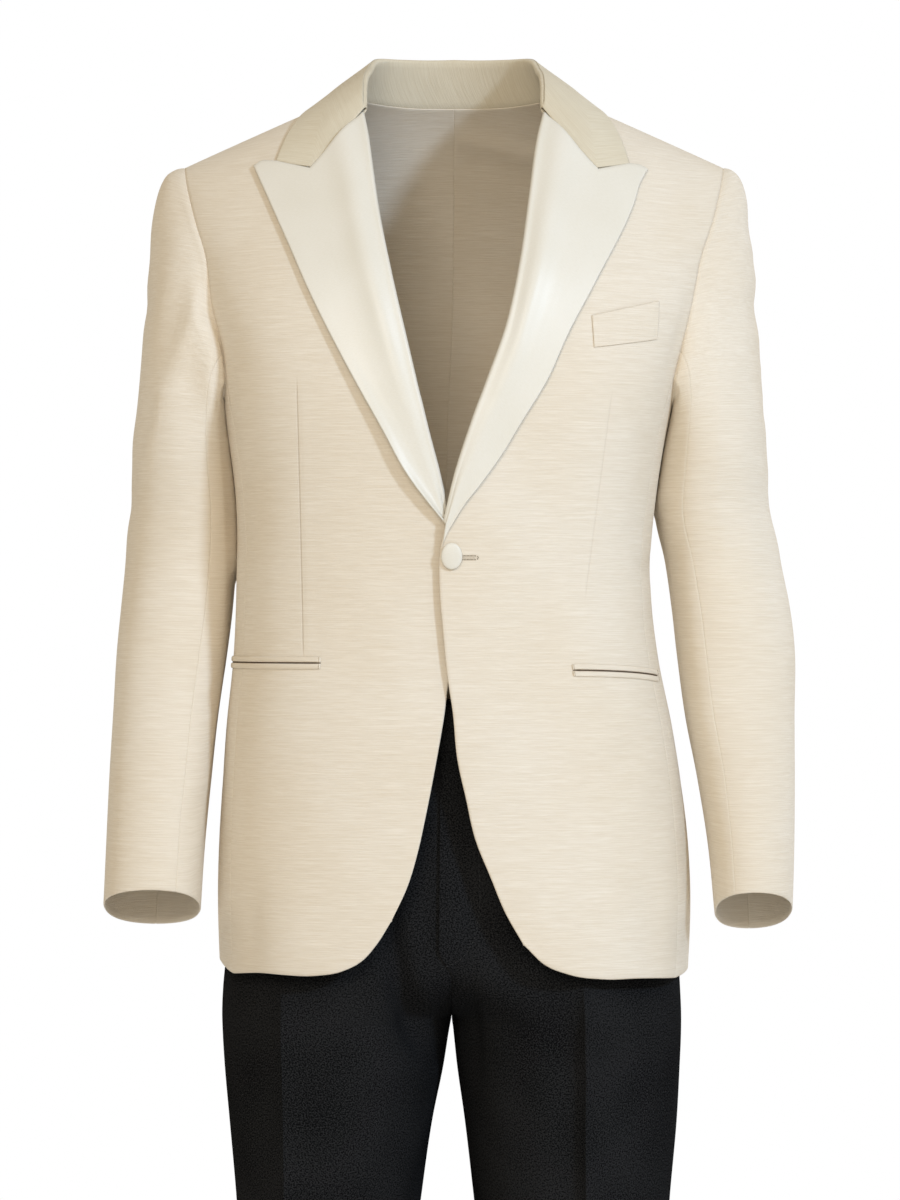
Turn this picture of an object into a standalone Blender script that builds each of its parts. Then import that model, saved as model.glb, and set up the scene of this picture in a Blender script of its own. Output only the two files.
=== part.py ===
# Dinner suit in two garments, in the pose of a standing wearer.
# Jacket: one button, peak lapels, two-piece sleeves. Trousers: plain front.
# Metres, Z up, the front looks along -Y, the wearer's left is +X.
import bpy
import numpy as np

# Driving dimensions
JACKET_WALL = 0.0016
LAPEL_WALL = 0.0014
SLEEVE_WALL = 0.0015
TROUSER_WALL = 0.0012
BAND_WALL = 0.0020
SEAM_HALF_GAP = 0.00016
SLIT_HALF_GAP = 0.00030
CLEAR = 0.00045
UNDERARM_Z = -0.240
SHOULDER_V = 0.100
SHOULDER_TIP_X = 0.228
SHOULDER_TIP_Z = -0.040
SHOULDER_SLOPE = 0.46
NECK_POINT_X = 0.088
BACK_NECK_V = -0.0093
COLLAR_BACK_V = -0.0322
COLLAR_SHOULDER_X = 0.118
BUTTON_RADIUS = 0.0100
BUTTON_HEIGHT = 0.0046
JET_HEIGHT = 0.0052
WAIST_TOP_Z = -0.4893
WAIST_SEAM_Z = -0.5270
CROTCH_Z = -0.752
TROUSER_HEM_Z = -1.562
VIEW_DISTANCE = 4.0
VIEW_Z = -0.403

# Number of grid steps along each seam
EDGE_STEPS = 8
ROLL_STEPS = 11
NECK_FRONT_STEPS = 3
NECK_BACK_STEPS = 5
SIDE_STEPS = 13
ARM_STEPS = 9
UNDER_STEPS = 5
SHOULDER_STEPS = 7

# Jacket body. Columns: v, centre x, half width, front depth, back depth, squareness, y shift.
# v is the height below the armpit and a rising coordinate over the shoulder above it.
BODY = np.array((
    (-0.730, 0.000, 0.1950, 0.140, 0.170, 0.16, 0.000),
    (-0.640, 0.000, 0.1965, 0.138, 0.168, 0.16, 0.000),
    (-0.580, -0.001, 0.1940, 0.135, 0.160, 0.15, 0.000),
    (-0.510, -0.004, 0.1870, 0.132, 0.145, 0.14, 0.000),
    (-0.450, -0.007, 0.1780, 0.128, 0.130, 0.13, 0.000),
    (-0.385, -0.009, 0.1735, 0.126, 0.122, 0.12, 0.000),
    (-0.320, -0.007, 0.1760, 0.130, 0.128, 0.13, 0.000),
    (-0.240, -0.005, 0.1890, 0.137, 0.142, 0.17, 0.001),
    (-0.200, -0.002, 0.1990, 0.1365, 0.1465, 0.20, 0.004),
    (-0.165, -0.001, 0.2104, 0.134, 0.148, 0.22, 0.008),
    (-0.117, 0.000, 0.2220, 0.122, 0.143, 0.22, 0.011),
    (-0.077, 0.000, 0.2320, 0.112, 0.137, 0.22, 0.012),
    (-0.024, 0.000, 0.2360, 0.105, 0.130, 0.22, 0.012),
    (0.100, 0.000, 0.2380, 0.100, 0.124, 0.22, 0.012)))
CHEST_SQUARENESS = 0.10

# Armhole seam from the shoulder tip down the front, under the arm and up the back.
# Columns: degrees round the body, v.
ARMHOLE_FRONT = ((67.9, 0.100), (64.6, -0.024), (61.8, -0.077), (62.4, -0.117),
                 (66.0, -0.165), (68.0, -0.195), (70.0, -0.222))
ARMHOLE_UNDER = ((70.0, -0.222), (77.0, -0.237), (87.0, -0.2445), (97.0, -0.2440),
                 (106.0, -0.2350), (113.0, -0.215))
ARMHOLE_BACK = ((113.0, -0.215), (111.5, -0.165), (113.5, -0.117), (114.5, -0.077),
                (113.5, -0.024), (112.1, 0.100))

# Outlines as seen from 4 m in front, millimetres on the plane y = 0.
# Columns: across, up.
LEFT_EDGE = ((60.5, -692.0), (43.7, -666.8), (31.1, -636.5), (18.5, -605.4),
             (10.1, -569.3), (3.4, -539.1), (-0.8, -497.1), (-5.0, -469.4),
             (-9.2, -428.2), (-11.8, -394.6), (-11.8, -365.2), (-6.7, -338.3))
LEFT_HEM = ((60.5, -692.0), (77.3, -707.1), (96.6, -715.2), (127.7, -719.5),
            (152.0, -719.7))
RIGHT_EDGE = ((-57.1, -672.6), (-43.7, -645.8), (-32.8, -616.4), (-25.2, -589.5),
              (-19.3, -560.1), (-14.3, -533.2), (-8.8, -501.3), (-5.0, -472.7),
              (1.7, -445.0), (8.4, -411.4), (11.8, -382.0), (7.6, -356.8),
              (-5.9, -339.2))
RIGHT_HEM = ((-57.1, -672.6), (-68.0, -691.1), (-78.1, -704.6), (-94.9, -713.8),
             (-115.9, -718.8), (-142.8, -717.2), (-158.0, -715.9))
LEFT_ROLL = ((-6.7, -338.3), (3.4, -295.5), (16.0, -256.8), (30.2, -218.2),
             (45.8, -174.5), (57.1, -123.3), (65.2, -66.7), (71.4, -21.0),
             (76.4, 4.4))
RIGHT_ROLL = ((-5.9, -339.2), (-11.8, -308.1), (-23.9, -261.0), (-38.6, -199.7),
              (-54.6, -130.8), (-65.5, -76.2), (-70.5, -41.8), (-74.3, -14.0),
              (-77.3, 4.4))
LEFT_LAPEL = ((-1.7, -341.7), (7.6, -329.1), (31.9, -300.5), (57.1, -254.3),
              (78.1, -218.2), (94.9, -179.6), (119.3, -133.4), (150.4, -69.5),
              (155.4, -51.0), (161.3, -39.7))
RIGHT_LAPEL = ((-11.8, -331.6), (-23.5, -318.2), (-41.2, -293.8), (-60.5, -261.0),
               (-83.2, -219.9), (-100.0, -187.1), (-120.1, -146.0),
               (-139.4, -101.4), (-155.4, -64.5), (-166.7, -37.6))
LEFT_GORGE = ((76.4, 4.4), (97.4, -18.3), (120.1, -40.1))
LEFT_NOTCH = ((120.1, -40.1), (146.2, -35.1))
LEFT_PEAK = ((146.2, -35.1), (152.9, -35.9), (161.3, -39.7))
RIGHT_GORGE = ((-77.3, 4.4), (-98.3, -16.6), (-120.3, -39.3))
RIGHT_NOTCH = ((-120.3, -39.3), (-148.7, -33.4))
RIGHT_PEAK = ((-148.7, -33.4), (-159.6, -33.4), (-166.7, -37.6))
WELT = ((115.9, -164.4), (171.4, -152.3), (117.6, -190.5), (169.7, -183.8))
BUTTON_AT = (-1.7, -365.2)

# Side seams: degrees at the hem and at the armhole, v at the hem.
SIDE_FRONT = (66.0, 70.0)
SIDE_BACK = (114.0, 113.0)
HEM_V = {1: (-0.7145, -0.7155, -0.7160), -1: (-0.7110, -0.7090, -0.7130)}
BACK_HEM_V = -0.7160

# Lift of the wearer's left front where it laps over the right one. Columns: z, lift.
LAP = np.array(((-0.600, 0.0), (-0.540, 0.0010), (-0.470, 0.0029), (-0.420, 0.0036),
                (-0.360, 0.0056), (-0.310, 0.0056), (-0.270, 0.0020), (-0.240, 0.0)))
LAP_FULL_X = 0.014
LAP_END_X = 0.080

# Hip pockets: first and last degrees, slit height at the first and the last.
HIP = {1: (31.8, 74.0, -0.4604, -0.4662), -1: (31.5, 96.0, -0.4545, -0.4550)}

# Collar stand: lift of the roll edge over the neck seam. Columns: step, x, y, z.
STAND = np.array(((0.0, -0.0050, -0.0020, 0.0015), (1.0, -0.0060, -0.0030, 0.0070),
                  (2.0, -0.0110, -0.0030, 0.0130), (3.0, -0.0180, -0.0020, 0.0190),
                  (4.5, -0.0140, -0.0100, 0.0300), (6.0, -0.0060, -0.0110, 0.0350),
                  (8.0, 0.0000, -0.0105, 0.0370)))

# Sleeves. Columns: z, outer x, inner x, half depth, y centre, tilt in degrees.
SLEEVE = {
    1: np.array((
        (-0.290, 0.2630, 0.1745, 0.0740, 0.033, 0.0),
        (-0.330, 0.2670, 0.1705, 0.0685, 0.041, 0.0),
        (-0.370, 0.2745, 0.1790, 0.0640, 0.043, 0.0),
        (-0.410, 0.2820, 0.1845, 0.0610, 0.037, 1.0),
        (-0.450, 0.2855, 0.1885, 0.0585, 0.025, 4.0),
        (-0.500, 0.2850, 0.1945, 0.0565, 0.007, 8.0),
        (-0.550, 0.2840, 0.2035, 0.0545, -0.013, 12.0),
        (-0.605, 0.2815, 0.2115, 0.0540, -0.033, 16.0),
        (-0.660, 0.2780, 0.2160, 0.053, -0.052, 20.0))),
    -1: np.array((
        (-0.290, 0.2705, 0.1885, 0.0740, 0.033, 0.0),
        (-0.330, 0.2715, 0.1850, 0.0685, 0.041, 0.0),
        (-0.370, 0.2760, 0.1850, 0.0640, 0.043, 0.0),
        (-0.410, 0.2805, 0.1875, 0.0610, 0.037, 1.0),
        (-0.450, 0.2835, 0.1920, 0.0585, 0.025, 4.0),
        (-0.500, 0.2842, 0.1985, 0.0560, 0.007, 8.0),
        (-0.550, 0.2856, 0.2030, 0.0530, -0.013, 12.0),
        (-0.605, 0.2871, 0.2075, 0.0510, -0.033, 16.0),
        (-0.657, 0.2885, 0.2100, 0.050, -0.052, 20.0)))}
SLEEVE_CAP = (0.0, 0.07, 0.17, 0.30, 0.45, 0.62, 0.80, 1.0)
UPPER_FIRST = -6
UPPER_LAST = 8

# Trousers. Columns: z, outer x left, inner x left, crease x left, and the same on the right.
LEGS = np.array((
    (-0.489, 0.1520, 0.0, 0.085, 0.1520, 0.0, 0.085),
    (-0.560, 0.1700, 0.0, 0.095, 0.1700, 0.0, 0.105),
    (-0.640, 0.1850, 0.0, 0.103, 0.1850, 0.0, 0.130),
    (-0.700, 0.1900, 0.0, 0.107, 0.1900, 0.0, 0.139),
    (-0.730, 0.1920, 0.0, 0.108, 0.1925, 0.0, 0.140),
    (-0.752, 0.1930, 0.0012, 0.109, 0.1930, 0.0015, 0.140),
    (-0.794, 0.1920, 0.0050, 0.110, 0.1905, 0.0070, 0.139),
    (-0.836, 0.1900, 0.0110, 0.110, 0.1865, 0.0150, 0.138),
    (-0.906, 0.1840, 0.0195, 0.111, 0.1805, 0.0250, 0.137),
    (-1.130, 0.1760, 0.0440, 0.112, 0.1760, 0.0480, 0.128),
    (-1.350, 0.1735, 0.0570, 0.116, 0.1750, 0.0600, 0.126),
    (-1.562, 0.1725, 0.0675, 0.121, 0.1755, 0.0705, 0.125)))
LEG_SHIFT = np.array(((-0.489, 0.0), (-0.640, -0.001), (-0.752, -0.002), (-1.562, -0.002)))
# Columns: z, y centre, front depth, back depth, crease height.
LEG_DEPTH = np.array((
    (-0.489, 0.004, 0.112, 0.116, 0.0005),
    (-0.560, 0.004, 0.114, 0.128, 0.0015),
    (-0.640, 0.006, 0.118, 0.140, 0.0030),
    (-0.700, 0.008, 0.119, 0.145, 0.0045),
    (-0.752, 0.008, 0.113, 0.137, 0.0060),
    (-0.800, 0.008, 0.105, 0.120, 0.0070),
    (-0.906, 0.006, 0.092, 0.100, 0.0080),
    (-1.130, 0.000, 0.072, 0.076, 0.0090),
    (-1.350, 0.004, 0.063, 0.065, 0.0090),
    (-1.562, 0.010, 0.058, 0.060, 0.0090)))
LEG_ROWS = (-0.527, -0.560, -0.600, -0.640, -0.680, -0.710, -0.733, -0.746, -0.752,
            -0.775, -0.800, -0.840, -0.885, -0.950, -1.030, -1.130, -1.270, -1.420,
            -1.562)
BACK_CREASE_DEG = 88.0


def along(t, ts, ys):
    """Smooth curve through the table (ts, ys), slopes taken from the neighbours."""
    ts = np.asarray(ts, float)
    ys = np.asarray(ys, float)
    t = np.clip(np.asarray(t, float), min(ts[0], ts[-1]), max(ts[0], ts[-1]))
    if ts[0] > ts[-1]:
        ts, ys = ts[::-1], ys[::-1]
    slope = np.gradient(ys, ts, axis=0)
    i = np.clip(np.searchsorted(ts, t, side="right") - 1, 0, len(ts) - 2)
    h = ts[i + 1] - ts[i]
    s = (t - ts[i]) / h
    if ys.ndim > 1:
        h, s = h[..., None], s[..., None]
    return ((1 + 2 * s) * (1 - s) ** 2 * ys[i] + s * (1 - s) ** 2 * h * slope[i]
            + s * s * (3 - 2 * s) * ys[i + 1] + s * s * (s - 1) * h * slope[i + 1])


def unit(v):
    """Vectors scaled to length one."""
    return v / np.maximum(np.linalg.norm(v, axis=-1, keepdims=True), 1e-12)


def bow(t, k):
    """Sine and cosine of t, filled out by k on the diagonal."""
    s, c = np.sin(t), np.cos(t)
    return s * (1 + k * c * c), c * (1 + k * s * s)


def unbow(u, k):
    """Angle whose filled sine is u."""
    u = np.clip(np.asarray(u, float), -1.0, 1.0)
    s = u / (1 + 0.5 * k)
    for _ in range(8):
        s = s - (s * (1 + k) - k * s ** 3 - u) / ((1 + k) - 3 * k * s * s)
    return np.arcsin(np.clip(s, -1.0, 1.0))


def shoulder_z(x):
    """Height of the shoulder seam at x, rounded at the middle."""
    reach = np.hypot(SHOULDER_TIP_X, 0.04) - np.hypot(x, 0.04)
    return SHOULDER_TIP_Z + SHOULDER_SLOPE * reach


def body_point(ang, v):
    """Outer face of the jacket at angle ang (0 front, + to the wearer's left) and v."""
    ang, v = np.broadcast_arrays(np.asarray(ang, float), np.asarray(v, float))
    row = along(v, BODY[:, 0], BODY[:, 1:])
    across, fore = bow(ang, row[..., 4])
    x = row[..., 0] + row[..., 1] * across
    climb = np.maximum(v - UNDERARM_Z, 0) / (SHOULDER_V - UNDERARM_Z) * np.pi / 2
    rise, keep = bow(climb, CHEST_SQUARENESS)
    z = np.minimum(v, UNDERARM_Z) + rise * (shoulder_z(x) - UNDERARM_Z)
    depth = np.where(fore > 0, row[..., 2], row[..., 3])
    return np.stack((x, row[..., 5] - depth * fore * keep, z), axis=-1)


def normal_of(surface, p, q):
    """Outward unit normal of surface(p, q) from small steps."""
    dp = surface(p + 1e-4, q) - surface(p - 1e-4, q)
    dq = surface(p, q + 1e-5) - surface(p, q - 1e-5)
    return unit(np.cross(dp, dq))


def body(ang, v, off=0.0):
    """Jacket body moved out along its normal by off."""
    off = np.asarray(off, float)
    return body_point(ang, v) + off[..., None] * normal_of(body_point, ang, v)


def lap(side, ang, v):
    """Lift of the front of this side."""
    if side < 0:
        return np.zeros(np.broadcast(ang, v).shape)
    at = body_point(ang, v)
    s = np.clip((LAP_END_X - at[..., 0]) / (LAP_END_X - LAP_FULL_X), 0, 1)
    return along(at[..., 2], LAP[:, 0], LAP[:, 1]) * s * s * (3 - 2 * s)


def chart(points):
    """Body coordinates of points drawn on the plane y = 0 and seen from the front."""
    plan = np.asarray(points, float) / 1000.0
    y = np.full(len(plan), -0.10)
    for _ in range(6):
        k = (VIEW_DISTANCE + y) / VIEW_DISTANCE
        x = plan[:, 0] * k
        z = VIEW_Z + (plan[:, 1] - VIEW_Z) * k
        rise = np.clip((z - UNDERARM_Z) / (shoulder_z(x) - UNDERARM_Z), 0, 1)
        climb = unbow(rise, CHEST_SQUARENESS)
        v = np.where(z < UNDERARM_Z, z, UNDERARM_Z + climb / (np.pi / 2)
                     * (SHOULDER_V - UNDERARM_Z))
        row = along(v, BODY[:, 0], BODY[:, 1:])
        ang = unbow((x - row[:, 0]) / row[:, 1], row[:, 4])
        y = body_point(ang, v)[:, 1]
    return np.stack((ang, v), axis=-1)


def resample(points, steps, surface=None):
    """Smooth curve through the points, cut into equal steps of real length."""
    points = np.asarray(points, float)
    where = np.concatenate(((0,), np.cumsum(np.linalg.norm(np.diff(points, axis=0)
                                                          * (1, 3), axis=1))))
    fine = along(np.linspace(0, where[-1], 400), where, points)
    real = fine if surface is None else surface(fine[:, 0], fine[:, 1])
    run = np.concatenate(((0,), np.cumsum(np.linalg.norm(np.diff(real, axis=0), axis=1))))
    want = np.linspace(0, run[-1], steps + 1)
    out = np.stack([np.interp(want, run, fine[:, c]) for c in (0, 1)], axis=-1)
    out[0], out[-1] = points[0], points[-1]
    return out


def join(*parts):
    """Curves joined end to end, the shared points kept once."""
    return np.concatenate([parts[0]] + [p[1:] for p in parts[1:]])


def patch(bottom, top, left, right):
    """Grid between four curves: rows go up, columns go from left to right."""
    def share(a, b):
        runs = []
        for c in (a, b):
            d = np.concatenate(((0,), np.cumsum(np.linalg.norm(np.diff(c, axis=0)
                                                              * (0.2, 1), axis=1))))
            runs.append(d / d[-1])
        return (runs[0] + runs[1]) / 2
    s = share(bottom, top)[None, :, None]
    t = share(left, right)[:, None, None]
    flat = ((1 - t) * bottom[None] + t * top[None]
            + (1 - s) * left[:, None] + s * right[:, None])
    corners = ((1 - t) * ((1 - s) * bottom[0] + s * bottom[-1])
               + t * ((1 - s) * top[0] + s * top[-1]))
    return flat - corners


def drawn(points, steps):
    """A drawn outline as body coordinates in equal steps."""
    fine = resample(points, 60)
    uv = chart(fine)
    return resample(uv, steps, body_point)


def pull_in(grid, bottom=0.0, top=0.0, left=0.0, right=0.0):
    """Move the border points of a point grid inward by the given gaps."""
    g = grid.copy()
    if bottom:
        g[0] += bottom * unit(grid[1] - grid[0])
    if top:
        g[-1] += top * unit(grid[-2] - grid[-1])
    if left:
        g[:, 0] += left * unit(grid[:, 1] - grid[:, 0])
    if right:
        g[:, -1] += right * unit(grid[:, -2] - grid[:, -1])
    return g


def material(name, colour, rough):
    """Plain material of one colour."""
    m = bpy.data.materials.new(name)
    m.use_nodes = True
    node = m.node_tree.nodes["Principled BSDF"]
    node.inputs["Base Color"].default_value = (*colour, 1)
    node.inputs["Roughness"].default_value = rough
    m.diffuse_color = (*colour, 1)
    return m


def add_mesh(name, verts, faces, colour, rough=0.8):
    """One closed object."""
    verts = np.asarray(verts, float)
    mesh = bpy.data.meshes.new(name)
    mesh.from_pydata([tuple(p) for p in verts], [], faces)
    volume = 0.0
    for f in faces:
        for i in range(1, len(f) - 1):
            volume += np.dot(verts[f[0]], np.cross(verts[f[i]], verts[f[i + 1]]))
    if volume < 0:
        mesh.flip_normals()
    mesh.update()
    obj = bpy.data.objects.new(name, mesh)
    obj.data.materials.append(material(name, colour, rough))
    bpy.context.scene.collection.objects.link(obj)
    return obj


def sheet(name, outer, inner, colour, rough=0.8):
    """Closed wall between two grids of points."""
    rows, cols = outer.shape[:2]
    verts = np.concatenate((outer.reshape(-1, 3), inner.reshape(-1, 3)))
    far = rows * cols

    def at(r, c, deep):
        return r * cols + c + (far if deep else 0)
    faces = []
    for r in range(rows - 1):
        for c in range(cols - 1):
            faces.append((at(r, c, 0), at(r, c + 1, 0), at(r + 1, c + 1, 0), at(r + 1, c, 0)))
            faces.append((at(r, c, 1), at(r + 1, c, 1), at(r + 1, c + 1, 1), at(r, c + 1, 1)))
    for c in range(cols - 1):
        faces.append((at(0, c + 1, 0), at(0, c, 0), at(0, c, 1), at(0, c + 1, 1)))
        faces.append((at(rows - 1, c, 0), at(rows - 1, c + 1, 0), at(rows - 1, c + 1, 1),
                      at(rows - 1, c, 1)))
    for r in range(rows - 1):
        faces.append((at(r, 0, 0), at(r + 1, 0, 0), at(r + 1, 0, 1), at(r, 0, 1)))
        faces.append((at(r + 1, cols - 1, 0), at(r, cols - 1, 0), at(r, cols - 1, 1),
                      at(r + 1, cols - 1, 1)))
    return add_mesh(name, verts, faces, colour, rough)


IVORY = (0.80, 0.73, 0.60)
SATIN = (0.86, 0.85, 0.75)
BLACK = (0.012, 0.012, 0.013)

for old in list(bpy.data.objects):
    bpy.data.objects.remove(old, do_unlink=True)

# Jacket body panels
NAME = {1: "left", -1: "right"}
DRAWN = {1: (LEFT_EDGE, LEFT_HEM, LEFT_ROLL, LEFT_LAPEL, LEFT_GORGE, LEFT_NOTCH, LEFT_PEAK),
         -1: (RIGHT_EDGE, RIGHT_HEM, RIGHT_ROLL, RIGHT_LAPEL, RIGHT_GORGE, RIGHT_NOTCH,
              RIGHT_PEAK)}
NECK_ANG = float(unbow(NECK_POINT_X / BODY[-1, 2], BODY[-1, 5]))
armhole, fronts, necks, rolls = {}, {}, {}, {}
for side in (1, -1):
    edge_d, hem_d, roll_d, lapel_d, gorge_d, notch_d, peak_d = DRAWN[side]
    holes = [resample(np.array(t) * (side * np.pi / 180, 1), n, body_point)
             for t, n in ((ARMHOLE_FRONT, ARM_STEPS), (ARMHOLE_UNDER, UNDER_STEPS),
                          (ARMHOLE_BACK, ARM_STEPS))]
    armhole[side] = join(*holes)
    hem_v = HEM_V[side]

    def seam(degs, v_hem, v_top, steps):
        t = np.linspace(0, 1, steps + 1)
        ang = np.radians(degs[0] + (degs[1] - degs[0]) * t) * side
        return np.stack((ang, v_hem + (v_top - v_hem) * t), axis=-1)
    front_seam = seam(SIDE_FRONT, hem_v[0], ARMHOLE_FRONT[-1][1], SIDE_STEPS)
    back_seam = seam(SIDE_BACK, hem_v[2], ARMHOLE_BACK[0][1], SIDE_STEPS)
    tip = armhole[side][0]

    edge = drawn(edge_d, EDGE_STEPS)
    roll = drawn(roll_d, ROLL_STEPS)
    neck_point = np.array((NECK_ANG * side, SHOULDER_V))
    neck = resample(np.array((roll[-1], neck_point)), NECK_FRONT_STEPS, body_point)
    hem_plan = chart(hem_d)
    hem = resample(np.concatenate((hem_plan, front_seam[:1])), SHOULDER_STEPS, body_point)
    xs = np.linspace(NECK_POINT_X, SHOULDER_TIP_X, SHOULDER_STEPS + 1)
    shoulder = np.stack((unbow(xs / BODY[-1, 2], BODY[-1, 5]) * side,
                         np.full(len(xs), SHOULDER_V)), axis=-1)
    shoulder[-1] = tip
    uv = patch(hem, shoulder, join(edge, roll, neck), join(front_seam, holes[0][::-1]))
    lift = lap(side, uv[..., 0], uv[..., 1])
    gaps = dict(top=SEAM_HALF_GAP, right=SEAM_HALF_GAP)
    outer = pull_in(body(uv[..., 0], uv[..., 1], lift), **gaps)
    inner = pull_in(body(uv[..., 0], uv[..., 1], lift - JACKET_WALL), **gaps)
    sheet("front_" + NAME[side], outer, inner, IVORY)
    fronts[side] = (uv, outer)
    necks[side] = neck
    rolls[side] = roll

    t = np.linspace(0, 1, UNDER_STEPS + 1)
    hem_curve = np.array(((SIDE_FRONT[0], hem_v[0]), (90.0, hem_v[1]), (SIDE_BACK[0], hem_v[2])))
    hem_ang = SIDE_FRONT[0] + (SIDE_BACK[0] - SIDE_FRONT[0]) * t
    hem = np.stack((np.radians(hem_ang) * side, along(hem_ang, hem_curve[:, 0],
                                                     hem_curve[:, 1])), axis=-1)
    uv = patch(hem, holes[1], front_seam, back_seam)
    gaps = dict(top=SEAM_HALF_GAP, left=SEAM_HALF_GAP, right=SEAM_HALF_GAP)
    sheet("side_" + NAME[side], pull_in(body(uv[..., 0], uv[..., 1]), **gaps),
          pull_in(body(uv[..., 0], uv[..., 1], -JACKET_WALL), **gaps), IVORY)

    phi = np.linspace(0, np.pi / 2, NECK_BACK_STEPS + 1)
    top_climb = (BACK_NECK_V - UNDERARM_Z) / (SHOULDER_V - UNDERARM_Z) * np.pi / 2
    keep = bow(top_climb, CHEST_SQUARENESS)[1] * np.sin(phi)
    climb = np.pi / 2 - unbow(keep, CHEST_SQUARENESS)
    neck_v = UNDERARM_Z + climb / (np.pi / 2) * (SHOULDER_V - UNDERARM_Z)
    row = along(neck_v, BODY[:, 0], BODY[:, 1:])
    neck_ang = np.pi - unbow(NECK_POINT_X * np.cos(phi) / row[:, 1], row[:, 4])
    back_neck = np.stack((neck_ang * side, neck_v), axis=-1)
    back_neck[0] = (np.pi - NECK_ANG) * side, SHOULDER_V
    back_shoulder = shoulder[::-1].copy()
    back_shoulder[:, 0] = (np.pi - np.abs(back_shoulder[:, 0])) * side
    back_shoulder[0] = armhole[side][-1]
    cols = SHOULDER_STEPS + NECK_BACK_STEPS
    t = np.linspace(0, 1, cols + 1)
    hem_ang = SIDE_BACK[0] + (180.0 - SIDE_BACK[0]) * t
    hem = np.stack((np.radians(hem_ang) * side, hem_v[2] + (BACK_HEM_V - hem_v[2]) * t), axis=-1)
    rows = SIDE_STEPS + ARM_STEPS
    centre = np.stack((np.full(rows + 1, np.pi * side),
                       np.linspace(BACK_HEM_V, BACK_NECK_V, rows + 1)), axis=-1)
    centre[-1] = back_neck[-1]
    uv = patch(hem, join(back_shoulder, back_neck), join(back_seam, holes[2]), centre)
    gaps = dict(top=SEAM_HALF_GAP, left=SEAM_HALF_GAP, right=SEAM_HALF_GAP)
    sheet("back_" + NAME[side], pull_in(body(uv[..., 0], uv[..., 1]), **gaps),
          pull_in(body(uv[..., 0], uv[..., 1], -JACKET_WALL), **gaps), IVORY)
    necks[side] = (neck, back_neck)

# Lapels: each wraps the roll edge of its front and lies on the chest
FOLD_R = 0.0025
FOLD_N = -0.00025
LEG = (0.0003, 0.0003, 0.0004, 0.0010, 0.0030, 0.0050)
FOLD_DEG = (70.0, 74.0, 130.0, 180.0)
gorge_rows = {}
for side in (1, -1):
    edge_d, hem_d, roll_d, lapel_d, gorge_d, notch_d, peak_d = DRAWN[side]
    uv_front, outer_front = fronts[side]
    roll = rolls[side]
    rows = ROLL_STEPS + 1
    top = join(drawn(gorge_d, 3), drawn(notch_d, 2), drawn(peak_d, 2))
    rim = drawn(lapel_d, ROLL_STEPS)
    rim[-1] = top[-1]
    bottom = np.linspace(roll[0], rim[0], 8)
    uv = patch(bottom, top, roll, rim)
    gorge_rows[side] = top
    share = np.linspace(0, 1, 8)[None, :]
    mid = 0.00195 + 0.0022 * (1 - share) ** 2 * np.minimum(1, share * 6) + 0.0003 * (1 - share)
    lift = lap(side, uv[..., 0], uv[..., 1])
    face = body(uv[..., 0], uv[..., 1], lift + mid)
    face_n = normal_of(body_point, uv[..., 0], uv[..., 1])
    first = EDGE_STEPS
    p0 = outer_front[first:first + rows, 0]
    chord = unit(outer_front[first:first + rows, 1] - p0)
    n0 = face_n[:, 0]
    gorge = face[-1, 1] - face[-1, 0]
    chord[-1] = unit(gorge - np.dot(gorge, n0[-1]) * n0[-1])
    mids, tilt = [], []
    for r in range(rows):
        last = np.radians(FOLD_DEG[min(r, len(FOLD_DEG) - 1)])
        leg = LEG[min(r, len(LEG) - 1)]
        turn = np.array((1.0, 1.0, 0.667, 0.333, 0.0)) * last
        e = -FOLD_R * np.sin(turn)
        n = FOLD_N + FOLD_R * np.cos(turn)
        e[0] += -leg * np.cos(last)
        n[0] += -leg * np.sin(last)
        mids.append(p0[r] + e[:, None] * chord[r] + n[:, None] * n0[r])
        tilt.append(-np.sin(turn)[:, None] * chord[r] + np.cos(turn)[:, None] * n0[r])
    mids, tilt = np.array(mids), np.array(tilt)
    middle = np.concatenate((mids, face[:, 1:]), axis=1)
    normal = np.concatenate((tilt, face_n[:, 1:]), axis=1)
    outer = pull_in(middle + normal * LAPEL_WALL / 2, top=SLIT_HALF_GAP)
    inner = pull_in(middle - normal * LAPEL_WALL / 2, top=SLIT_HALF_GAP)
    sheet("lapel_" + NAME[side], outer, inner, SATIN, 0.4)


# Collar: stand, roll and fall in one piece round the neck
def over(u, w):
    """Body point in coordinates that run over the shoulder from front to back."""
    back = w > SHOULDER_V
    v = np.where(back, 2 * SHOULDER_V - w, w)
    ang = np.where(back, np.sign(u + 1e-12) * np.pi - u, u)
    return ang, v


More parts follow.
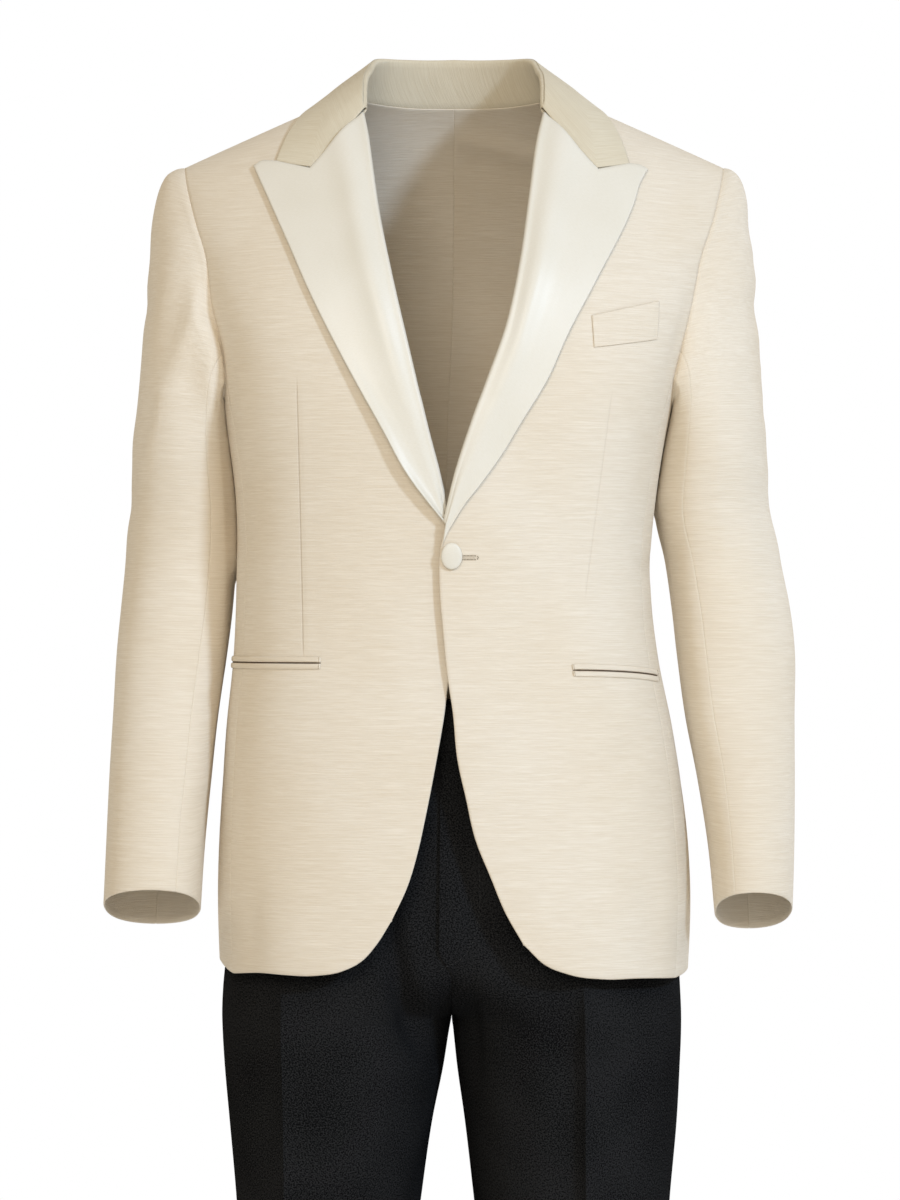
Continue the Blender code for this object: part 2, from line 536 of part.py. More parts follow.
halves = []
for side in (1, -1):
    neck, back_neck = necks[side]
    flip = np.array((side * 1.0, 1.0))
    back_w = np.stack((np.pi - np.abs(back_neck[:, 0]), 2 * SHOULDER_V - back_neck[:, 1]),
                      axis=-1) * flip
    ground0 = join(neck, back_w)
    corner = gorge_rows[side][5]
    phi = np.linspace(0, np.pi / 2, 9)
    top_climb = (COLLAR_BACK_V - UNDERARM_Z) / (SHOULDER_V - UNDERARM_Z) * np.pi / 2
    keep = bow(top_climb, CHEST_SQUARENESS)[1] * np.sin(phi)
    climb = np.pi / 2 - unbow(keep, CHEST_SQUARENESS)
    rim_v = UNDERARM_Z + climb / (np.pi / 2) * (SHOULDER_V - UNDERARM_Z)
    row = along(rim_v, BODY[:, 0], BODY[:, 1:])
    rim_u = unbow(COLLAR_SHOULDER_X * np.cos(phi) / row[:, 1], row[:, 4])
    rim_back = np.stack((rim_u, 2 * SHOULDER_V - rim_v), axis=-1) * flip
    rim_points = np.concatenate((corner[None], rim_back[::2]))
    count = NECK_FRONT_STEPS + NECK_BACK_STEPS
    ground1 = resample(rim_points, count, lambda p, q: body_point(*over(p, q)))
    end = gorge_rows[side][:6]
    last = np.linspace(ground0[-1], ground1[-1], 6)
    uw = patch(end, last, ground0, ground1)
    ang, v = over(uw[..., 0], uw[..., 1])
    ang[-1] = np.pi * side
    normal = normal_of(body_point, ang, v)
    ground = body_point(ang, v)
    n0 = normal[:, 0]
    base = ground[:, 0]
    step = np.arange(count + 1.0)
    rise = along(step, STAND[:, 0], STAND[:, 1:]) * (side, 1, 1)
    gorge = ground[0, 1] - ground[0, 0]
    rise[0] = -0.0045 * unit(gorge - np.dot(gorge, n0[0]) * n0[0])
    up = unit(rise)
    out = unit(n0 - np.sum(n0 * up, axis=-1, keepdims=True) * up)
    w2 = LAPEL_WALL / 2
    radius = 0.0023
    rows_m, rows_h = [], []
    for t in (0.0, 0.45, 0.9):
        rows_m.append(base - n0 * 0.0008 * (1 - t) - out * 0.0008 * t + up * 0.0003 * (1 - t)
                      + rise * t)
        rows_h.append(-unit(n0 * (1 - t) + out * t) if t else -n0)
    for turn in (130.0, 85.0, 40.0):
        a = np.radians(turn)
        rows_m.append(base + rise + out * (-0.0008 + radius + radius * np.cos(a))
                      + up * radius * np.sin(a))
        rows_h.append(out * np.cos(a) + up * np.sin(a))
    q = np.linspace(0, 1, 6)
    fall_mid, fall_n = [], []
    for c in range(6):
        full = np.linalg.norm(rise, axis=-1)[:, None] / 0.037
        off = 0.00195 + 0.0019 * (1 - q[c]) ** 2 + 0.0042 * full * 4 * q[c] * (1 - q[c])
        fall_mid.append(ground[:, c] + off * normal[:, c] + rise * (1 - q[c]) ** 1.15)
        fall_n.append(normal[:, c])
    fall_mid = np.array(fall_mid)
    dq = np.gradient(fall_mid, axis=0)
    dp = np.gradient(fall_mid, axis=1)
    grid_n = unit(np.cross(dp, dq))
    grid_n *= np.sign(np.sum(grid_n * np.array(fall_n), axis=-1, keepdims=True))
    blend = np.minimum(np.arange(count + 1.0) / 2, 1)[:, None]
    fall_h = unit(grid_n * blend + np.array(fall_n) * (1 - blend))
    middle = np.concatenate((np.array(rows_m), fall_mid))
    tilt = np.concatenate((np.array(rows_h), fall_h))
    middle = middle.transpose(1, 0, 2)
    tilt = tilt.transpose(1, 0, 2)
    face = pull_in(middle + tilt * w2, bottom=SLIT_HALF_GAP)
    back = pull_in(middle - tilt * w2, bottom=SLIT_HALF_GAP)
    halves.append((face, back))
collar_face = np.concatenate((halves[0][0], halves[1][0][-2::-1]))
collar_back = np.concatenate((halves[0][1], halves[1][1][-2::-1]))
sheet("collar", collar_face, collar_back, IVORY)

# Sleeves
for side in (1, -1):
    ring_uv = armhole[side]
    ring = body(ring_uv[:, 0], ring_uv[:, 1])
    ring_n = normal_of(body_point, ring_uv[:, 0], ring_uv[:, 1])
    count = len(ring) - 1
    ring, ring_n = ring[:-1], ring_n[:-1]
    gap = np.linalg.norm(np.diff(np.concatenate((ring, ring[:1])), axis=0), axis=1)
    run = np.concatenate(((0,), np.cumsum(gap)))
    low = ARM_STEPS + UNDER_STEPS / 2
    half = np.interp(low, np.arange(count + 1), run)
    omega = np.where(run[:-1] < half, np.pi * run[:-1] / half,
                     2 * np.pi - np.pi * (run[-1] - run[:-1]) / (run[-1] - half))
    ahead = unit(np.roll(ring, -1, axis=0) - np.roll(ring, 1, axis=0))
    leave = unit(np.cross(ring_n, ahead)) * side
    start = ring + leave * SEAM_HALF_GAP * 1.2
    co, si = np.cos(omega)[:, None], np.sin(omega)[:, None]
    top, fore, low_w, aft = (np.maximum(co, 0) ** 2, np.maximum(si, 0) ** 2,
                             np.maximum(-co, 0) ** 2, np.maximum(-si, 0) ** 2)
    begin = (top * np.array((0.090, 0.0, -0.006)) + fore * np.array((0.055, -0.022, -0.020))
             + low_w * np.array((0.030, 0.0, 0.010)) + aft * np.array((0.055, 0.022, -0.020)))
    begin = begin * (side, 1, 1) + 0.030 * leave
    reach = 0.250 * top + 0.170 * (fore + aft) + 0.060 * low_w
    table = SLEEVE[side]
    rings = []
    for z, out_x, in_x, b, yc, tilt_deg in table:
        beta = np.radians(tilt_deg)
        cx, a = (out_x + in_x) / 2, (out_x - in_x) / 2
        px, py = bow(omega, 0.10)[1], bow(omega, 0.10)[0]
        rings.append(np.stack((side * (cx + a * px), yc - b * py * np.cos(beta),
                               z + b * py * np.sin(beta)), axis=-1))
    first = rings[0]
    finish = (rings[1] - rings[0]) / 0.040 * reach
    cap = []
    for t in SLEEVE_CAP[:-1]:
        cap.append((2 * t ** 3 - 3 * t * t + 1) * start + (t ** 3 - 2 * t * t + t) * begin
                   + (3 * t * t - 2 * t ** 3) * first + (t ** 3 - t * t) * finish)
    tube = np.array(cap + rings)
    wrap = np.concatenate((tube[:, -1:], tube, tube[:, :1]), axis=1)
    dk = (wrap[:, 2:] - wrap[:, :-2])
    dr = np.gradient(tube, axis=0)
    tube_n = unit(np.cross(dk, dr)) * side
    tube_n[0] = ring_n
    inner = tube - tube_n * SLEEVE_WALL
    upper = np.arange(UPPER_FIRST, UPPER_LAST + 1) % count
    under = np.arange(UPPER_LAST, count + UPPER_FIRST + 1) % count
    for label, pick in (("upper", upper), ("under", under)):
        gaps = dict(left=2 * SEAM_HALF_GAP, right=2 * SEAM_HALF_GAP)
        sheet("sleeve_%s_%s" % (label, NAME[side]), pull_in(tube[:, pick], **gaps),
              pull_in(inner[:, pick], **gaps), IVORY)

# Breast pocket welt on the wearer's left
corners = chart(WELT)
s = np.linspace(0, 1, 5)[None, :, None]
t = np.linspace(0, 1, 3)[:, None, None]
uv = ((1 - t) * ((1 - s) * corners[2] + s * corners[3])
      + t * ((1 - s) * corners[0] + s * corners[1]))
sheet("breast_welt", body(uv[..., 0], uv[..., 1], np.float64(CLEAR + 0.0012)),
      body(uv[..., 0], uv[..., 1], np.float64(CLEAR)), IVORY)

# Hip pocket jets, an upper and a lower one on each side
for side in (1, -1):
    deg0, deg1, v0, v1 = HIP[side]
    s = np.linspace(0, 1, 13)
    ang = np.radians(deg0 + (deg1 - deg0) * s) * side
    slit = v0 + (v1 - v0) * s ** 1.6
    for label, sign in (("upper", 1), ("lower", -1)):
        rows = [slit + sign * d for d in (0.0002, JET_HEIGHT)]
        v = np.array(rows)
        a2 = np.broadcast_to(ang, v.shape)
        lift = lap(side, a2, v)
        sheet("hip_jet_%s_%s" % (label, NAME[side]), body(a2, v, lift + CLEAR + 0.0011),
              body(a2, v, lift + CLEAR), IVORY)

# Front button, covered in the lapel cloth
uv = chart((BUTTON_AT,))[0]
n = normal_of(body_point, uv[0], uv[1])
foot = body(uv[0], uv[1], lap(1, uv[0], uv[1]) + CLEAR)
e1 = unit(np.cross(n, (0, 0, 1.0)))
e2 = np.cross(n, e1)
profile = ((0.70, 0.0), (0.94, 0.16), (1.0, 0.42), (0.93, 0.72), (0.70, 0.91), (0.36, 1.0))
verts, faces, seg = [], [], 20
for r, h in profile:
    for i in range(seg):
        a = 2 * np.pi * i / seg
        verts.append(foot + BUTTON_RADIUS * r * (np.cos(a) * e1 + np.sin(a) * e2)
                     + n * BUTTON_HEIGHT * h)
for k in range(len(profile) - 1):
    for i in range(seg):
        j = (i + 1) % seg
        faces.append((k * seg + i, k * seg + j, (k + 1) * seg + j, (k + 1) * seg + i))
faces.append(tuple(reversed(range(seg))))
faces.append(tuple((len(profile) - 1) * seg + i for i in range(seg)))
add_mesh("front_button", verts, faces, SATIN, 0.4)


# Trousers
def leg_row(side, z):
    """Shift, middle, half width, end angle, crease angle, depths at height z."""
    first = 1 if side > 0 else 4
    out_x, in_x, crease = along(z, LEGS[:, 0], LEGS[:, first:first + 3]).T
    t = np.clip((z - CROTCH_Z) / (-0.489 - CROTCH_Z), 0, 1)
    r = np.exp(-(t / 0.17) ** 1.5)
    above = t > 0
    half = np.where(above, out_x / (1 + r), (out_x - in_x) / 2)
    mid = np.where(above, r * half, (out_x + in_x) / 2)
    end = np.arccos(np.clip(-mid / half, -1, 1))
    end = np.where(above, end, np.pi)
    fold = np.arccos(np.clip((crease - mid) / half, -1, 1))
    return mid, half, end, fold


def leg_point(side, face):
    """Surface of one leg face as a function of angle and height."""
    def point(a, z):
        a, z = np.broadcast_arrays(np.asarray(a, float), np.asarray(z, float))
        flat_z = z.reshape(-1)
        mid, half, end, fold = (c.reshape(z.shape) for c in leg_row(side, flat_z))
        shift = along(z, LEG_SHIFT[:, 0], LEG_SHIFT[:, 1])
        yc, fore, aft, ridge = np.moveaxis(along(z, LEG_DEPTH[:, 0], LEG_DEPTH[:, 1:]), -1, 0)
        fold = np.where(face < 0, fold, np.radians(BACK_CREASE_DEG) * end / np.pi * 1.02)
        depth = fore if face < 0 else aft
        y = depth * np.sin(a) + ridge * np.exp(-np.abs(a - fold) / 0.32) * np.sin(a)
        return np.stack((shift + side * (mid + half * np.cos(a)), yc + face * y, z), axis=-1)
    return point


for side in (1, -1):
    for face, label in ((-1, "front"), (1, "back")):
        surface = leg_point(side, face)
        z = np.array(LEG_ROWS)
        mid, half, end, fold = leg_row(side, z)
        if face > 0:
            fold = np.radians(BACK_CREASE_DEG) * end / np.pi * 1.02
        cols_a = 4
        cols_b = 5
        grid_a = np.concatenate((fold[:, None] * np.linspace(0, 1, cols_a + 1)[None],
                                 fold[:, None] + (end - fold)[:, None]
                                 * np.linspace(0, 1, cols_b + 1)[None, 1:]), axis=1)
        grid_z = np.repeat(z[:, None], grid_a.shape[1], axis=1)
        outer = surface(grid_a, grid_z)
        normal = normal_of(surface, grid_a, grid_z)
        normal *= side * face
        inner = outer - normal * TROUSER_WALL
        gaps = dict(left=SEAM_HALF_GAP, right=SEAM_HALF_GAP, bottom=SEAM_HALF_GAP)
        sheet("trouser_%s_%s" % (label, NAME[side]), pull_in(outer, **gaps),
              pull_in(inner, **gaps), BLACK, 0.9)

# Waistband, a left and a right half
for side in (1, -1):
    parts_o, parts_i = [], []
    for face in (-1, 1):
        surface = leg_point(side, face)
        z = np.array((WAIST_SEAM_Z + 0.00032, (WAIST_SEAM_Z + WAIST_TOP_Z) / 2, WAIST_TOP_Z))
        end = leg_row(side, z)[2]
        t = np.linspace(0, 1, 7)
        grid_a = end[:, None] * t[None]
        grid_z = np.repeat(z[:, None], 7, axis=1)
        outer = surface(grid_a, grid_z)
        normal = normal_of(surface, grid_a, grid_z)
        normal *= side * face
        grow = 0.0003
        parts_o.append(outer + normal * grow)
        parts_i.append(outer + normal * (grow - BAND_WALL))
    outer = np.concatenate((parts_o[0][:, ::-1], parts_o[1][:, 1:]), axis=1)
    inner = np.concatenate((parts_i[0][:, ::-1], parts_i[1][:, 1:]), axis=1)
    gaps = dict(left=SEAM_HALF_GAP, right=SEAM_HALF_GAP)
    sheet("waistband_" + NAME[side], pull_in(outer, **gaps), pull_in(inner, **gaps), BLACK, 0.9)
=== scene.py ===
import bpy
import numpy as np
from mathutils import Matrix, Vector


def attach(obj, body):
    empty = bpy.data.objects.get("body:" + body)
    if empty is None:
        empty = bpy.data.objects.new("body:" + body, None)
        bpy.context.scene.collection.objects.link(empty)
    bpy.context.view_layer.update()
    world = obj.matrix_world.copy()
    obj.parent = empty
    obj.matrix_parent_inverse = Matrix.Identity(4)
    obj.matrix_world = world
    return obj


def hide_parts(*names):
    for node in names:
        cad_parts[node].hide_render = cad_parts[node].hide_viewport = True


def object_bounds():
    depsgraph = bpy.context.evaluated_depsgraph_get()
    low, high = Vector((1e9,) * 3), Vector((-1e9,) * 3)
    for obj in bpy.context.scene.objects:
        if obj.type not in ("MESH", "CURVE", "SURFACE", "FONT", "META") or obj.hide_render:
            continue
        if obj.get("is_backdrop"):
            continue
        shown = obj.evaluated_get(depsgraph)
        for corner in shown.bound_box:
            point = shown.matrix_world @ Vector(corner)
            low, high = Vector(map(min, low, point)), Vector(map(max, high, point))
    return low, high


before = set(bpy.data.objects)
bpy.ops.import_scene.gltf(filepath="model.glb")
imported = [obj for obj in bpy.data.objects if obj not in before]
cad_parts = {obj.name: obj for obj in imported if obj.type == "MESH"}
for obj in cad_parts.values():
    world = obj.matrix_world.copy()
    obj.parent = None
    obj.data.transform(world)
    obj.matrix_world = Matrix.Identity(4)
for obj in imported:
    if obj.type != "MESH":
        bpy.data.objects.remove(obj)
cad_box = [list(corner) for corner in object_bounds()]

# View and room
# A long lens at chest height, four metres in front, in a dim warm room that is seen as white.
# A small cool lamp in front on the right casts the shadows, a large warm one near the middle
# fills them, and two weak ones stand behind. A pale floor lies below the hems.
VIEW_X = -0.0034
VIEW_Z = -0.403
VIEW_DISTANCE = 4.0
LENS_MM = 142.9
SENSOR_MM = 36.0
lens = bpy.data.cameras.new("camera")
lens.lens = LENS_MM
lens.sensor_width = SENSOR_MM
camera = bpy.data.objects.new("camera", lens)
camera.location = (VIEW_X, -VIEW_DISTANCE, VIEW_Z)
camera.rotation_euler = (np.pi / 2, 0, 0)
bpy.context.scene.collection.objects.link(camera)
bpy.context.scene.camera = camera
bpy.context.scene.view_settings.view_transform = "Standard"


class Wire:
    """A socket of a material's nodes. Arithmetic on it adds Math nodes."""

    def __init__(self, tree, socket=None):
        self.tree = tree
        self.socket = socket

    def node(self, kind, settings=(), inputs=(), out=0):
        """Add a node: its settings first, then values or links; gives back one output."""
        made = self.tree.nodes.new(kind)
        for key, value in dict(settings).items():
            setattr(made, key, value)
        for key, value in dict(inputs).items():
            if isinstance(value, Wire):
                self.tree.links.new(value.socket, made.inputs[key])
            else:
                made.inputs[key].default_value = value
        return Wire(self.tree, made.outputs[out]) if len(made.outputs) else made

    def output(self, out):
        """Another output of the node that this wire leaves."""
        return Wire(self.tree, self.socket.node.outputs[out])

    def math(self, operation, *terms):
        return self.node("ShaderNodeMath", {"operation": operation}, enumerate(terms))

    def __add__(self, other):
        return self.math("ADD", self, other)

    def __sub__(self, other):
        return self.math("SUBTRACT", self, other)

    def __rsub__(self, other):
        return self.math("SUBTRACT", other, self)

    def __mul__(self, other):
        return self.math("MULTIPLY", self, other)

    __radd__ = __add__
    __rmul__ = __mul__

    def ramp(self, low, high):
        """Soft step from 0 at low to 1 at high."""
        return self.node("ShaderNodeMapRange", {"interpolation_type": "SMOOTHSTEP"},
                         {0: self, 1: low, 2: high})

    def mix(self, dark, light):
        """Colour between dark and light, this value being the share of light."""
        return self.node("ShaderNodeMix", {"data_type": "RGBA"},
                         {0: self, 6: dark, 7: light}, 2)


ROOM_TINT = (1.0, 0.89, 0.72, 1)
ROOM_STRENGTH = 0.45
LAMP_AIM_Z = -0.45
world = bpy.data.worlds.new("white_room")
bpy.context.scene.world = world
world.use_nodes = True
world.node_tree.nodes.clear()
room = Wire(world.node_tree)
dim = room.node("ShaderNodeBackground", (), {"Color": ROOM_TINT, "Strength": ROOM_STRENGTH})
bright = room.node("ShaderNodeBackground", (), {"Color": (1, 1, 1, 1), "Strength": 1.0})
seen = room.node("ShaderNodeLightPath")
both = room.node("ShaderNodeMixShader", (), {0: seen, 1: dim, 2: bright})
room.node("ShaderNodeOutputWorld", (), {0: both})

# Lamps: name, place, side of the square, power, tint.
for name, place, size, power, tint in (
        ("key", (2.6, -3.3, 1.4), 0.45, 98.0, (0.60, 0.765, 1.0)),
        ("fill", (-0.7, -4.2, 1.3), 1.6, 60.0, (1.0, 0.91, 0.79)),
        ("back_left", (-2.6, 2.4, 0.8), 2.0, 10.0, (1.0, 0.95, 0.88)),
        ("back_right", (2.8, 2.2, 0.8), 2.0, 32.0, (1.0, 1.0, 1.0))):
    lamp = bpy.data.lights.new(name, "AREA")
    lamp.size = size
    lamp.energy = power
    lamp.color = tint
    holder = bpy.data.objects.new(name, lamp)
    holder.location = place
    away = np.array(place) - (0, 0, LAMP_AIM_Z)
    holder.rotation_euler = (np.arccos(away[2] / np.linalg.norm(away)), 0,
                             np.arctan2(away[1], away[0]) + np.pi / 2)
    bpy.context.scene.collection.objects.link(holder)


def painted(name):
    """A new material: its shader node and the wire to build it with."""
    made = bpy.data.materials.new(name)
    made.use_nodes = True
    wire = Wire(made.node_tree)
    return made, wire, made.node_tree.nodes["Principled BSDF"]


def finish(wire, shader, **sockets):
    """Lead wires into the shader's sockets or set their values; _ in a name is a space."""
    for key, value in sockets.items():
        socket = shader.inputs[key.replace("_", " ")]
        if isinstance(value, Wire):
            wire.tree.links.new(value.socket, socket)
        else:
            socket.default_value = value


def piece(name, verts, faces, material, uv=None):
    """One smooth mesh at the origin from points and four-sided faces, with a UV map in metres."""
    mesh = bpy.data.meshes.new(name)
    verts = np.asarray(verts, float)
    faces = np.asarray(faces)
    a, b, c, d = (verts[faces[:, k]] for k in range(4))
    if np.sum(np.cross(b - a, c - a) * a + np.cross(c - a, d - a) * a) < 0:
        faces = faces[:, ::-1]
    mesh.vertices.add(len(verts))
    mesh.vertices.foreach_set("co", verts.ravel())
    mesh.loops.add(faces.size)
    mesh.loops.foreach_set("vertex_index", faces.ravel())
    mesh.polygons.add(len(faces))
    mesh.polygons.foreach_set("loop_start", np.arange(0, faces.size, 4))
    mesh.update(calc_edges=True)
    if uv is not None:
        mesh.uv_layers.new(name="cloth").data.foreach_set("uv", uv[faces.ravel()].ravel())
    mesh.shade_smooth()
    mesh.validate()
    made = bpy.data.objects.new(name, mesh)
    made.data.materials.append(material)
    bpy.context.scene.collection.objects.link(made)
    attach(made, "root")
    return made


FLOOR_Z = -1.600
FLOOR_REACH = 5.0
floor_paint, w, shader = painted("floor_paint")
finish(w, shader, Base_Color=(0.86, 0.86, 0.85, 1), Roughness=0.9)
floor_at = np.array(((-1, -1), (1, -1), (1, 1), (-1, 1))) * FLOOR_REACH
floor_at = np.pad(floor_at, ((0, 0), (0, 1)), constant_values=FLOOR_Z)
floor = piece("floor", floor_at, ((0, 1, 2, 3),), floor_paint)
floor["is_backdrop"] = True

# Jacket body: two fronts, two sides and two back halves
# Slubbed ivory suiting, its uneven weft running across, cut as six panels and sewn at side,
# centre back and shoulders. Front edges and hem are turned in; a dart shapes each front.
JACKET_WALL = 0.0016
SEAM_LAP = 0.00006
UNDERARM_Z = -0.240
SHOULDER_V = 0.100
SHOULDER_TIP_X = 0.228
SHOULDER_ROUND = 0.04
SHOULDER_TIP_Z = -0.040
SHOULDER_SLOPE = 0.46
NECK_POINT_X = 0.088
BACK_NECK_V = -0.0093

# Steps of the grids along each edge. FINE of them stand for one step of the solids.
FINE = 8
EDGE_STEPS = 8 * FINE
ROLL_STEPS = 11 * FINE
NECK_FRONT_STEPS = 3 * FINE
NECK_BACK_STEPS = 5 * FINE
SIDE_STEPS = 13 * FINE
ARM_STEPS = 9 * FINE
UNDER_STEPS = 5 * FINE
SHOULDER_STEPS = 7 * FINE

# Columns: v, centre x, half width, front depth, back depth, squareness, y shift. v is the
# height below the armpit and a rising coordinate over the shoulder above it.
BODY = np.array((
    (-0.730, 0.000, 0.1950, 0.140, 0.170, 0.16, 0.000),
    (-0.640, 0.000, 0.1965, 0.138, 0.168, 0.16, 0.000),
    (-0.580, -0.001, 0.1940, 0.135, 0.160, 0.15, 0.000),
    (-0.510, -0.004, 0.1870, 0.132, 0.145, 0.14, 0.000),
    (-0.450, -0.007, 0.1780, 0.128, 0.130, 0.13, 0.000),
    (-0.385, -0.009, 0.1735, 0.126, 0.122, 0.12, 0.000),
    (-0.320, -0.007, 0.1760, 0.130, 0.128, 0.13, 0.000),
    (-0.240, -0.005, 0.1890, 0.137, 0.142, 0.17, 0.001),
    (-0.200, -0.002, 0.1990, 0.1365, 0.1465, 0.20, 0.004),
    (-0.165, -0.001, 0.2104, 0.134, 0.148, 0.22, 0.008),
    (-0.117, 0.000, 0.2220, 0.122, 0.143, 0.22, 0.011),
    (-0.077, 0.000, 0.2320, 0.112, 0.137, 0.22, 0.012),
    (-0.024, 0.000, 0.2360, 0.105, 0.130, 0.22, 0.012),
    (0.100, 0.000, 0.2380, 0.100, 0.124, 0.22, 0.012)))
CHEST_SQUARENESS = 0.10

# Armhole seam from the shoulder tip down the front, under the arm and up the back.
# Columns: degrees round the body, v.
ARMHOLE_FRONT = {1: ((67.9, 0.100), (64.6, -0.024), (61.8, -0.077), (61.8, -0.117),
                     (64.4, -0.165), (67.6, -0.195), (70.0, -0.222)),
                 -1: ((67.9, 0.100), (64.6, -0.024), (61.8, -0.077), (62.4, -0.117),
                      (66.0, -0.165), (68.0, -0.195), (70.0, -0.222))}
ARMHOLE_UNDER = ((70.0, -0.222), (77.0, -0.237), (87.0, -0.2445), (97.0, -0.2440),
                 (106.0, -0.2350), (113.0, -0.215))
ARMHOLE_BACK = ((113.0, -0.215), (111.5, -0.165), (113.5, -0.117), (114.5, -0.077),
                (113.5, -0.024), (112.1, 0.100))

# Outlines as seen from 4 m in front, millimetres on the plane y = 0. Columns: across, up.
EDGE = {
    1: ((58.4, -692.5), (43.7, -666.8), (31.1, -636.5), (18.5, -605.4), (10.1, -569.3),
        (3.4, -539.1), (-0.8, -497.1), (-5.0, -469.4), (-9.2, -428.2), (-11.8, -394.6),
        (-11.8, -365.2), (-6.7, -338.3)),
    -1: ((-52.8, -672.6), (-40.2, -645.8), (-31.2, -616.4), (-25.2, -589.5), (-19.3, -560.1),
         (-14.3, -533.2), (-8.8, -501.3), (-5.0, -472.7), (1.7, -445.0), (8.4, -411.4),
         (11.8, -382.0), (7.6, -356.8), (-5.9, -339.2))}
HEM = {
    1: ((58.4, -692.5), (75.4, -708.6), (96.0, -717.0), (127.7, -721.1), (152.0, -720.4)),
    -1: ((-52.8, -672.6), (-64.0, -690.6), (-76.0, -704.6), (-94.3, -714.4), (-115.9, -718.0),
         (-142.8, -717.2), (-158.0, -715.9))}
ROLL = {
    1: ((-6.7, -338.3), (3.4, -295.5), (16.0, -256.8), (30.2, -218.2), (45.8, -174.5),
        (57.1, -123.3), (65.2, -66.7), (71.4, -21.0), (76.4, 4.4)),
    -1: ((-5.9, -339.2), (-11.8, -308.1), (-23.9, -261.0), (-38.6, -199.7), (-54.6, -130.8),
         (-65.5, -76.2), (-70.5, -41.8), (-74.3, -14.0), (-77.3, 4.4))}

# Side seams: degrees at the hem. v of the hem at the front one, between them and at the back.
SIDE_FRONT_DEG = 66.0
SIDE_BACK_DEG = 114.0
HEM_V = {1: (-0.7145, -0.7105, -0.7160), -1: (-0.7108, -0.7025, -0.7130)}
BACK_HEM_V = -0.7160

# Lift of the wearer's left front where it laps over the right one. Columns: z, lift.
LAP = np.array(((-0.620, 0.0), (-0.560, 0.0022), (-0.500, 0.0052), (-0.440, 0.0068),
                (-0.370, 0.0068), (-0.320, 0.0058), (-0.270, 0.0020), (-0.240, 0.0)))
LAP_FULL_X = 0.014
LAP_END_X = 0.080

# Folds of the body, each a bend led by three points. Columns: degrees and v of the three
# points, half width, share by which the right-hand flank is wider, height out of the cloth.
# Heights and widths are in millimetres.
BODY_FOLDS = (
    (-63, -190, -68, -225, -72, -270, 12, 0.3, -1.8),
    (-58, -205, -62, -250, -64, -300, 16, -0.3, 1.2),
    (60.5, -150, 62, -190, 66, -240, 12, -0.3, -1.4),
    (64, -370, 77, -379, 92, -366, 10, 0.3, -1.9),
    (60, -395, 74, -400, 88, -392, 14, 0.2, 1),
    (52, -344, 62, -350, 76, -342, 12, -0.2, -1),
    (-60, -356, -74, -362, -90, -350, 14, 0.2, -1.3),
    (36, -540, 46, -528, 58, -506, 13, 0.3, -1.2),
    (30, -570, 44, -564, 60, -540, 20, 0, 1),
    (-20, -430, -34, -408, -50, -400, 22, 0, -0.9),
    (14, -410, 26, -398, 40, -396, 20, 0, -1),
    (-52, -620, -54, -670, -53, -740, 20, 0.2, -2.1),
    (-38, -630, -39, -680, -38, -740, 24, 0, 1.4),
    (48, -610, 51, -670, 50, -740, 22, 0.2, -1.6),
    (84, -560, 82, -640, 80, -750, 26, 0, 1.8),
    (100, -540, 103, -640, 104, -750, 24, 0.2, -2),
    (-86, -550, -84, -650, -83, -750, 26, 0, 1.6),
    (-102, -540, -105, -640, -107, -750, 24, 0, -2.2),
    (124, -520, 130, -620, 131, -750, 26, 0.2, 2.6),
    (146, -500, 149, -620, 150, -750, 28, -0.2, -2.8),
    (-128, -510, -133, -620, -135, -750, 26, -0.2, 2.4),
    (-150, -520, -154, -630, -156, -750, 26, 0.2, -2.6),
    (112, -330, 132, -356, 156, -350, 13, 0.3, -3),
    (118, -362, 138, -386, 166, -378, 13, 0.2, -2.6),
    (122, -390, 144, -410, 172, -410, 15, 0, -1.8),
    (-110, -336, -130, -360, -158, -352, 13, 0.3, -2.8),
    (-116, -370, -140, -392, -170, -384, 14, 0.2, -2.6),
    (119, -60, 124, -130, 128, -215, 14, 0.3, -3),
    (126, -80, 131, -150, 138, -230, 16, -0.3, 1.8),
    (-119, -55, -123, -125, -127, -220, 14, 0.3, -3.2),
    (-128, -90, -133, -160, -139, -235, 16, 0.3, 2),
    (150, -45, 170, -52, 190, -45, 12, 0, -1.6))
FOLD_RADIUS = 0.167
MM = 0.001


def along(t, ts, ys):
    """Smooth curve through the table (ts, ys), slopes taken from the neighbours."""
    ts = np.asarray(ts, float)
    ys = np.asarray(ys, float)
    t = np.clip(np.asarray(t, float), min(ts[0], ts[-1]), max(ts[0], ts[-1]))
    if ts[0] > ts[-1]:
        ts, ys = ts[::-1], ys[::-1]
    slope = np.gradient(ys, ts, axis=0)
    i = np.clip(np.searchsorted(ts, t, side="right") - 1, 0, len(ts) - 2)
    h = ts[i + 1] - ts[i]
    s = (t - ts[i]) / h
    if ys.ndim > 1:
        h, s = h[..., None], s[..., None]
    return ((1 + 2 * s) * (1 - s) ** 2 * ys[i] + s * (1 - s) ** 2 * h * slope[i]
            + s * s * (3 - 2 * s) * ys[i + 1] + s * s * (s - 1) * h * slope[i + 1])


def unit(v):
    """Vectors scaled to length one."""
    return v / np.maximum(np.linalg.norm(v, axis=-1, keepdims=True), 1e-12)


def soft(x, low, high):
    """Soft step: 3 s s - 2 s s s, s being the share of the way from low to high."""
    s = np.clip((np.asarray(x, float) - low) / (high - low), 0, 1)
    return s * s * (3 - 2 * s)


def bow(t, k):
    """Sine and cosine of t, filled out by k on the diagonal."""
    s, c = np.sin(t), np.cos(t)
    return s * (1 + k * c * c), c * (1 + k * s * s)


